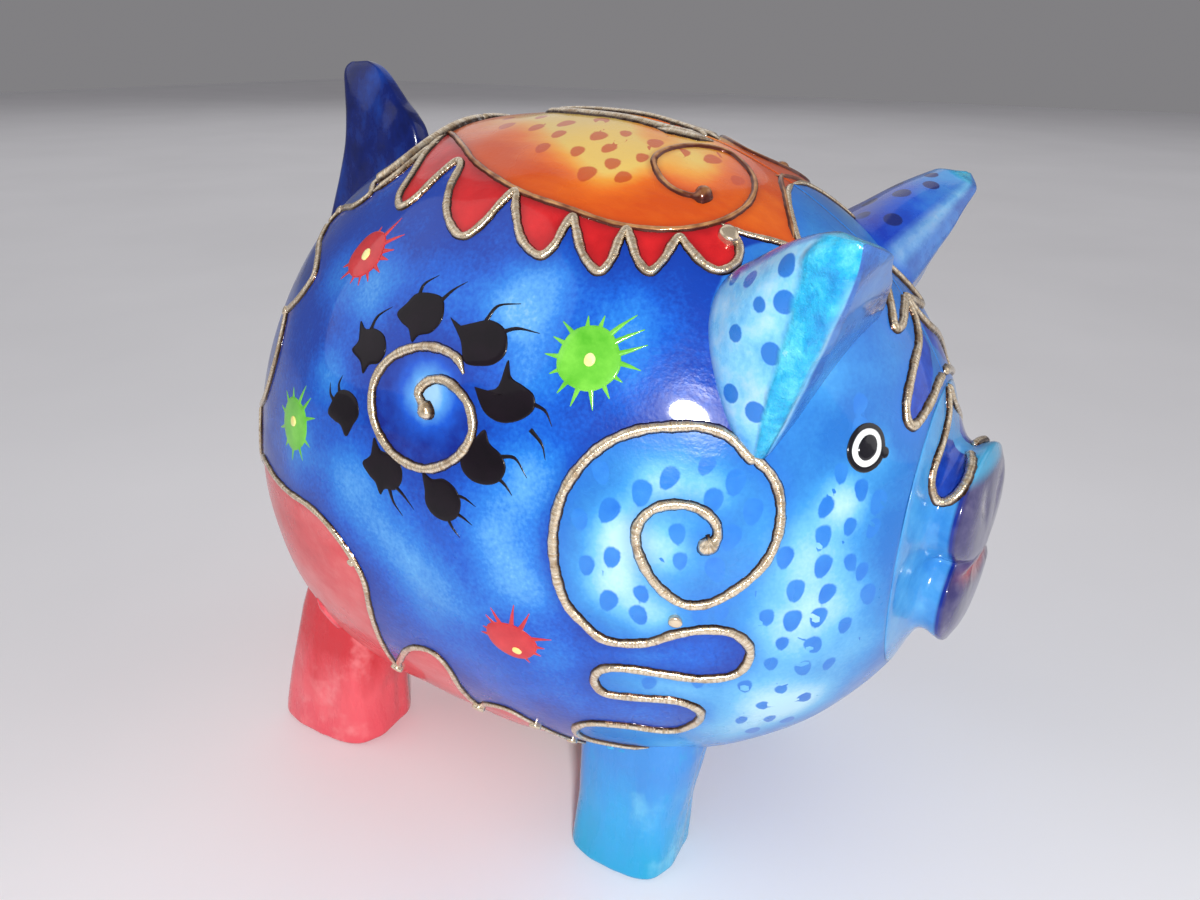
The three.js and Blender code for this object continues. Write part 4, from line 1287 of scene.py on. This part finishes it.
def tail_rings(count=88):
    """Sections of the carved fin, thinner towards its top."""
    rows = smooth([(*a, *b) for a, b in FIN], 0.9)
    turn = np.linspace(0, 2 * math.pi, count, endpoint=False)
    cos, sin = np.cos(turn), np.sin(turn)
    lengthwise = np.sign(cos) * np.abs(cos) ** 0.85
    sideways = np.sign(sin) * np.abs(sin) ** 0.45
    rings = []
    for k, (y0, z0, y1, z1) in enumerate(rows):
        middle = np.array([(y0 + y1) / 2, (z0 + z1) / 2])
        reach = np.array([(y1 - y0) / 2, (z1 - z0) / 2])
        share = k / (len(rows) - 1)
        thick = (5.3 - 1.5 * share) * math.sqrt(max(0.05, 1 - share**5))
        place = middle[None] + lengthwise[:, None] * reach[None]
        wave = 1 + 0.03 * np.sin(place[:, 0] * 0.6 + share * 14)
        rings.append(np.stack([sideways * thick * wave, place[:, 0] + MIDDLE_Y, place[:, 1]], -1))
    return np.array(rings)


def tail_paint():
    """Dark blue, blotched."""
    p = Paint("tail_fin_paint", roughness=0.34, coat=0.4, coat_roughness=0.08)
    blot = p.noise(90, 5.0, 0.65, (1, 1, 0.6))
    colour = p.ramp(
        blot, (0.3, rgb(6, 16, 66)), (0.5, rgb(9, 30, 104)), (0.66, rgb(16, 58, 146)), (0.8, rgb(34, 96, 180)),
    )
    return p.finish(colour, brushed_skin(p), p.step(blot, 0.3, 0.7, 0.2, 0.34))


rings = tail_rings()
TAIL = tail_paint()
tail = lofted("tail_fin_carved", rings, TAIL)
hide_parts("tail_fin")
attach(tail, "pig")

# ---------- snout ----------
MOUTH_HEIGHT = 80.0
NOSTRIL_ACROSS, NOSTRIL_HEIGHT = 5.2, 95.0
# ranks from here on are the snout's face
FACE_RANK = 1.3


def nostril_marks(x, z, half_width, half_height):
    """1 in the middle of each nostril, fading to 0 round it."""
    return sum(
        np.exp(-(((x - side * NOSTRIL_ACROSS) / half_width) ** 2 + ((z - NOSTRIL_HEIGHT) / half_height) ** 2))
        for side in (-1, 1)
    )


def snout_rings(count=160):
    """The neck, rim and face of the two-lobed snout, with the mouth's crease and two shallow nostrils."""
    turn = np.linspace(0, 2 * math.pi, count, endpoint=False)
    radius = lobed_outline(turn)
    kernel = np.array([1, 2, 3, 2, 1]) / 9
    radius = sum(w * np.roll(radius, k - 2) for k, w in enumerate(kernel))
    rings, rank = [], []
    for s, blend, scale, part in SNOUT_STATIONS:
        half = float(half_height(np.array(s)))
        round_x = -RATIO * half * np.sin(turn)
        round_z = float(centre_height(np.array(s))) + half * np.cos(turn)
        x = round_x * (1 - blend) - np.sin(turn) * radius * scale * blend
        z = round_z * (1 - blend) + (SNOUT_MIDDLE + np.cos(turn) * radius * scale) * blend
        on_face = part >= FACE_RANK
        crease = np.exp(-((z - MOUTH_HEIGHT) / 1.7) ** 2) * (1.1 if on_face else 0)
        dip = crease + nostril_marks(x, z, 2.0, 2.6) * (0.9 if on_face else 0)
        rings.append(np.stack([x, MIDDLE_Y - s - SNOUT_SKEW * x * blend + dip, z], -1))
        rank.append(part)
    return np.array(rings), rank


def snout_paint():
    """Blue neck, darker rim and plum face, with a red mouth, grey nostrils and a painted turquoise highlight
    over the top of the rim and face.
    """
    p = Paint("snout_paint", roughness=0.3, coat=0.6, coat_roughness=0.08)
    blot = p.noise(130, 4.0, 0.6)
    rank = p.field("rank")
    sky = p.ramp(blot, (0.3, rgb(50, 130, 204)), (0.6, rgb(78, 158, 218)), (0.85, rgb(104, 180, 224)))
    plum = p.ramp(blot, (0.3, rgb(40, 36, 84)), (0.5, rgb(66, 62, 108)), (0.75, rgb(104, 98, 132)))
    plum = p.mix(p.field("mouth"), plum, rgb(186, 62, 54))
    plum = p.mix(p.field("nostril"), plum, rgb(188, 184, 186))
    drop = p.ramp(p.noise(300, 3.0), (0.3, rgb(16, 44, 140)), (0.7, rgb(30, 74, 184)))
    sky = p.over(sky, "drop", drop, 0.25)
    colour = p.mix(p.step(rank, 0.1, 0.6), sky, rgb(18, 44, 136))
    colour = p.mix(p.step(rank, 0.85, 1.1), colour, plum)
    # painted highlight: turquoise over the top of the rim and face, above about 100 mm
    corner = p.math("MULTIPLY", p.step(p.up(), 0.1, 0.103), p.step(rank, 0.02, 0.3))
    colour = p.mix(p.math("MULTIPLY", corner, 0.75), colour, rgb(60, 178, 224))
    return p.finish(colour, brushed_skin(p), p.step(blot, 0.3, 0.7, 0.14, 0.26))


rings, rank = snout_rings()
SNOUT = snout_paint()
snout = lofted("snout_lobes", rings, SNOUT)
flat = np.vstack([rings.reshape(-1, 3), rings[0].mean(0), rings[-1].mean(0)])
ranks = np.concatenate([np.repeat(rank, rings.shape[1]), [0, 2]])
on_face = ranks >= FACE_RANK
mouth = np.exp(-((flat[:, 2] - MOUTH_HEIGHT) / 1.5) ** 2) * on_face * np.exp(-(flat[:, 0] / 8.0) ** 4)
nostril = nostril_marks(flat[:, 0], flat[:, 2], 1.1, 1.7) * on_face
station_s = np.append(np.repeat([row[0] for row in SNOUT_STATIONS], rings.shape[1]), [82, 95])
station_deg = np.tile(np.linspace(0, 360, rings.shape[1], endpoint=False), len(SNOUT_STATIONS))
station_deg = np.append(np.minimum(station_deg, 360 - station_deg), [0, 0])
right_hand = flat * np.where(flat[:, :1] > 0, [[-1, 1, 1]], [[1, 1, 1]])
drop = signed(right_hand, station_s, station_deg, LOBES[1])
for name, values in (("rank", ranks), ("mouth", mouth), ("nostril", nostril), ("drop", drop)):
    add_field(snout, name, values)
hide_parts("snout")
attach(snout, "pig")

# ---------- stopper and dowels ----------
# radius and height round the stopper, from the middle of its outer face to the middle of its inner one
STOPPER_PROFILE = [
    (0.0, 12.5), (6.0, 12.45), (7.2, 12.9), (8.0, 13.5), (8.8, 12.9), (10.0, 12.35), (14.6, 12.1),
    (15.6, 12.0), (16.4, 12.35), (16.85, 12.9), (17.0, 13.8), (17.0, 16.0), (16.8, 16.4), (14.9, 16.5),
    (14.6, 16.7), (14.5, 17.5), (14.5, 19.6), (14.2, 20.3), (13.5, 20.7), (0.0, 20.7),
]


def turned(name, profile, middle_y, material, count=96):
    """A lathe-turned shape, very slightly out of round."""
    turn = np.linspace(0, 2 * math.pi, count, endpoint=False)
    rings = []
    for k, (radius, z) in enumerate(profile):
        r = max(radius, 0.05) * (1 + 0.0025 * np.sin(5 * turn + k))
        rings.append(np.stack([r * np.cos(turn), middle_y + r * np.sin(turn), np.full(count, z)], -1))
    return lofted(name, rings, material)


STOPPER_WOOD = wood("stopper_wood", rgb(150, 104, 62), rgb(204, 160, 108), 0.45, 0.35)
stopper = turned("stopper_turned", STOPPER_PROFILE, MIDDLE_Y, STOPPER_WOOD)
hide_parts("belly_stopper")
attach(stopper, "stopper")

PEG_WOOD = wood("peg_wood", rgb(178, 136, 88), rgb(214, 178, 130))
for name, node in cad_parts.items():
    if name.startswith("dowel"):
        node.data.materials.clear()
        node.data.materials.append(PEG_WOOD)

# ---------- light and floor ----------
floor_paint = Paint("floor", roughness=0.5, coat=0.0)
floor_tone = floor_paint.ramp(floor_paint.noise(6, 3.0), (0.3, rgb(238, 237, 240)), (0.7, rgb(243, 242, 245)))
FLOOR = floor_paint.finish(floor_tone)
floor_mesh = bpy.data.meshes.new("floor")
floor_mesh.from_pydata([(-3, -3, 0), (3, -3, 0), (3, 3, 0), (-3, 3, 0)], [], [(0, 1, 2, 3)])
floor_mesh.materials.append(FLOOR)
floor = bpy.data.objects.new("floor", floor_mesh)
bpy.context.scene.collection.objects.link(floor)

world = bpy.data.worlds.new("studio")
world.use_nodes = True
world.node_tree.nodes["Background"].inputs["Color"].default_value = rgb(222, 220, 224)
world.node_tree.nodes["Background"].inputs["Strength"].default_value = 0.3
bpy.context.scene.world = world
bpy.context.scene.view_settings.view_transform = "Standard"


def area_light(name, at, size, power):
    """A round lamp that points at the middle of the pig."""
    data = bpy.data.lights.new(name, "AREA")
    data.shape = "DISK"
    data.size = size
    data.energy = power
    light = bpy.data.objects.new(name, data)
    bpy.context.scene.collection.objects.link(light)
    light.location = at
    light.rotation_mode = "QUATERNION"
    light.rotation_quaternion = (Vector(MIDDLE) - Vector(at)).to_track_quat("-Z", "Y")


MIDDLE = (0.0, 0.0, 0.08)
area_light("key", (-0.35, -0.235, 0.28), 0.05, 1.75)
area_light("side_fill", (-1.0, 1.3, 1.3), 2.4, 11.0)
area_light("front_fill", (0.9, -1.6, 1.0), 2.2, 9.0)
area_light("back_fill", (1.3, 0.9, 1.5), 2.4, 8.0)
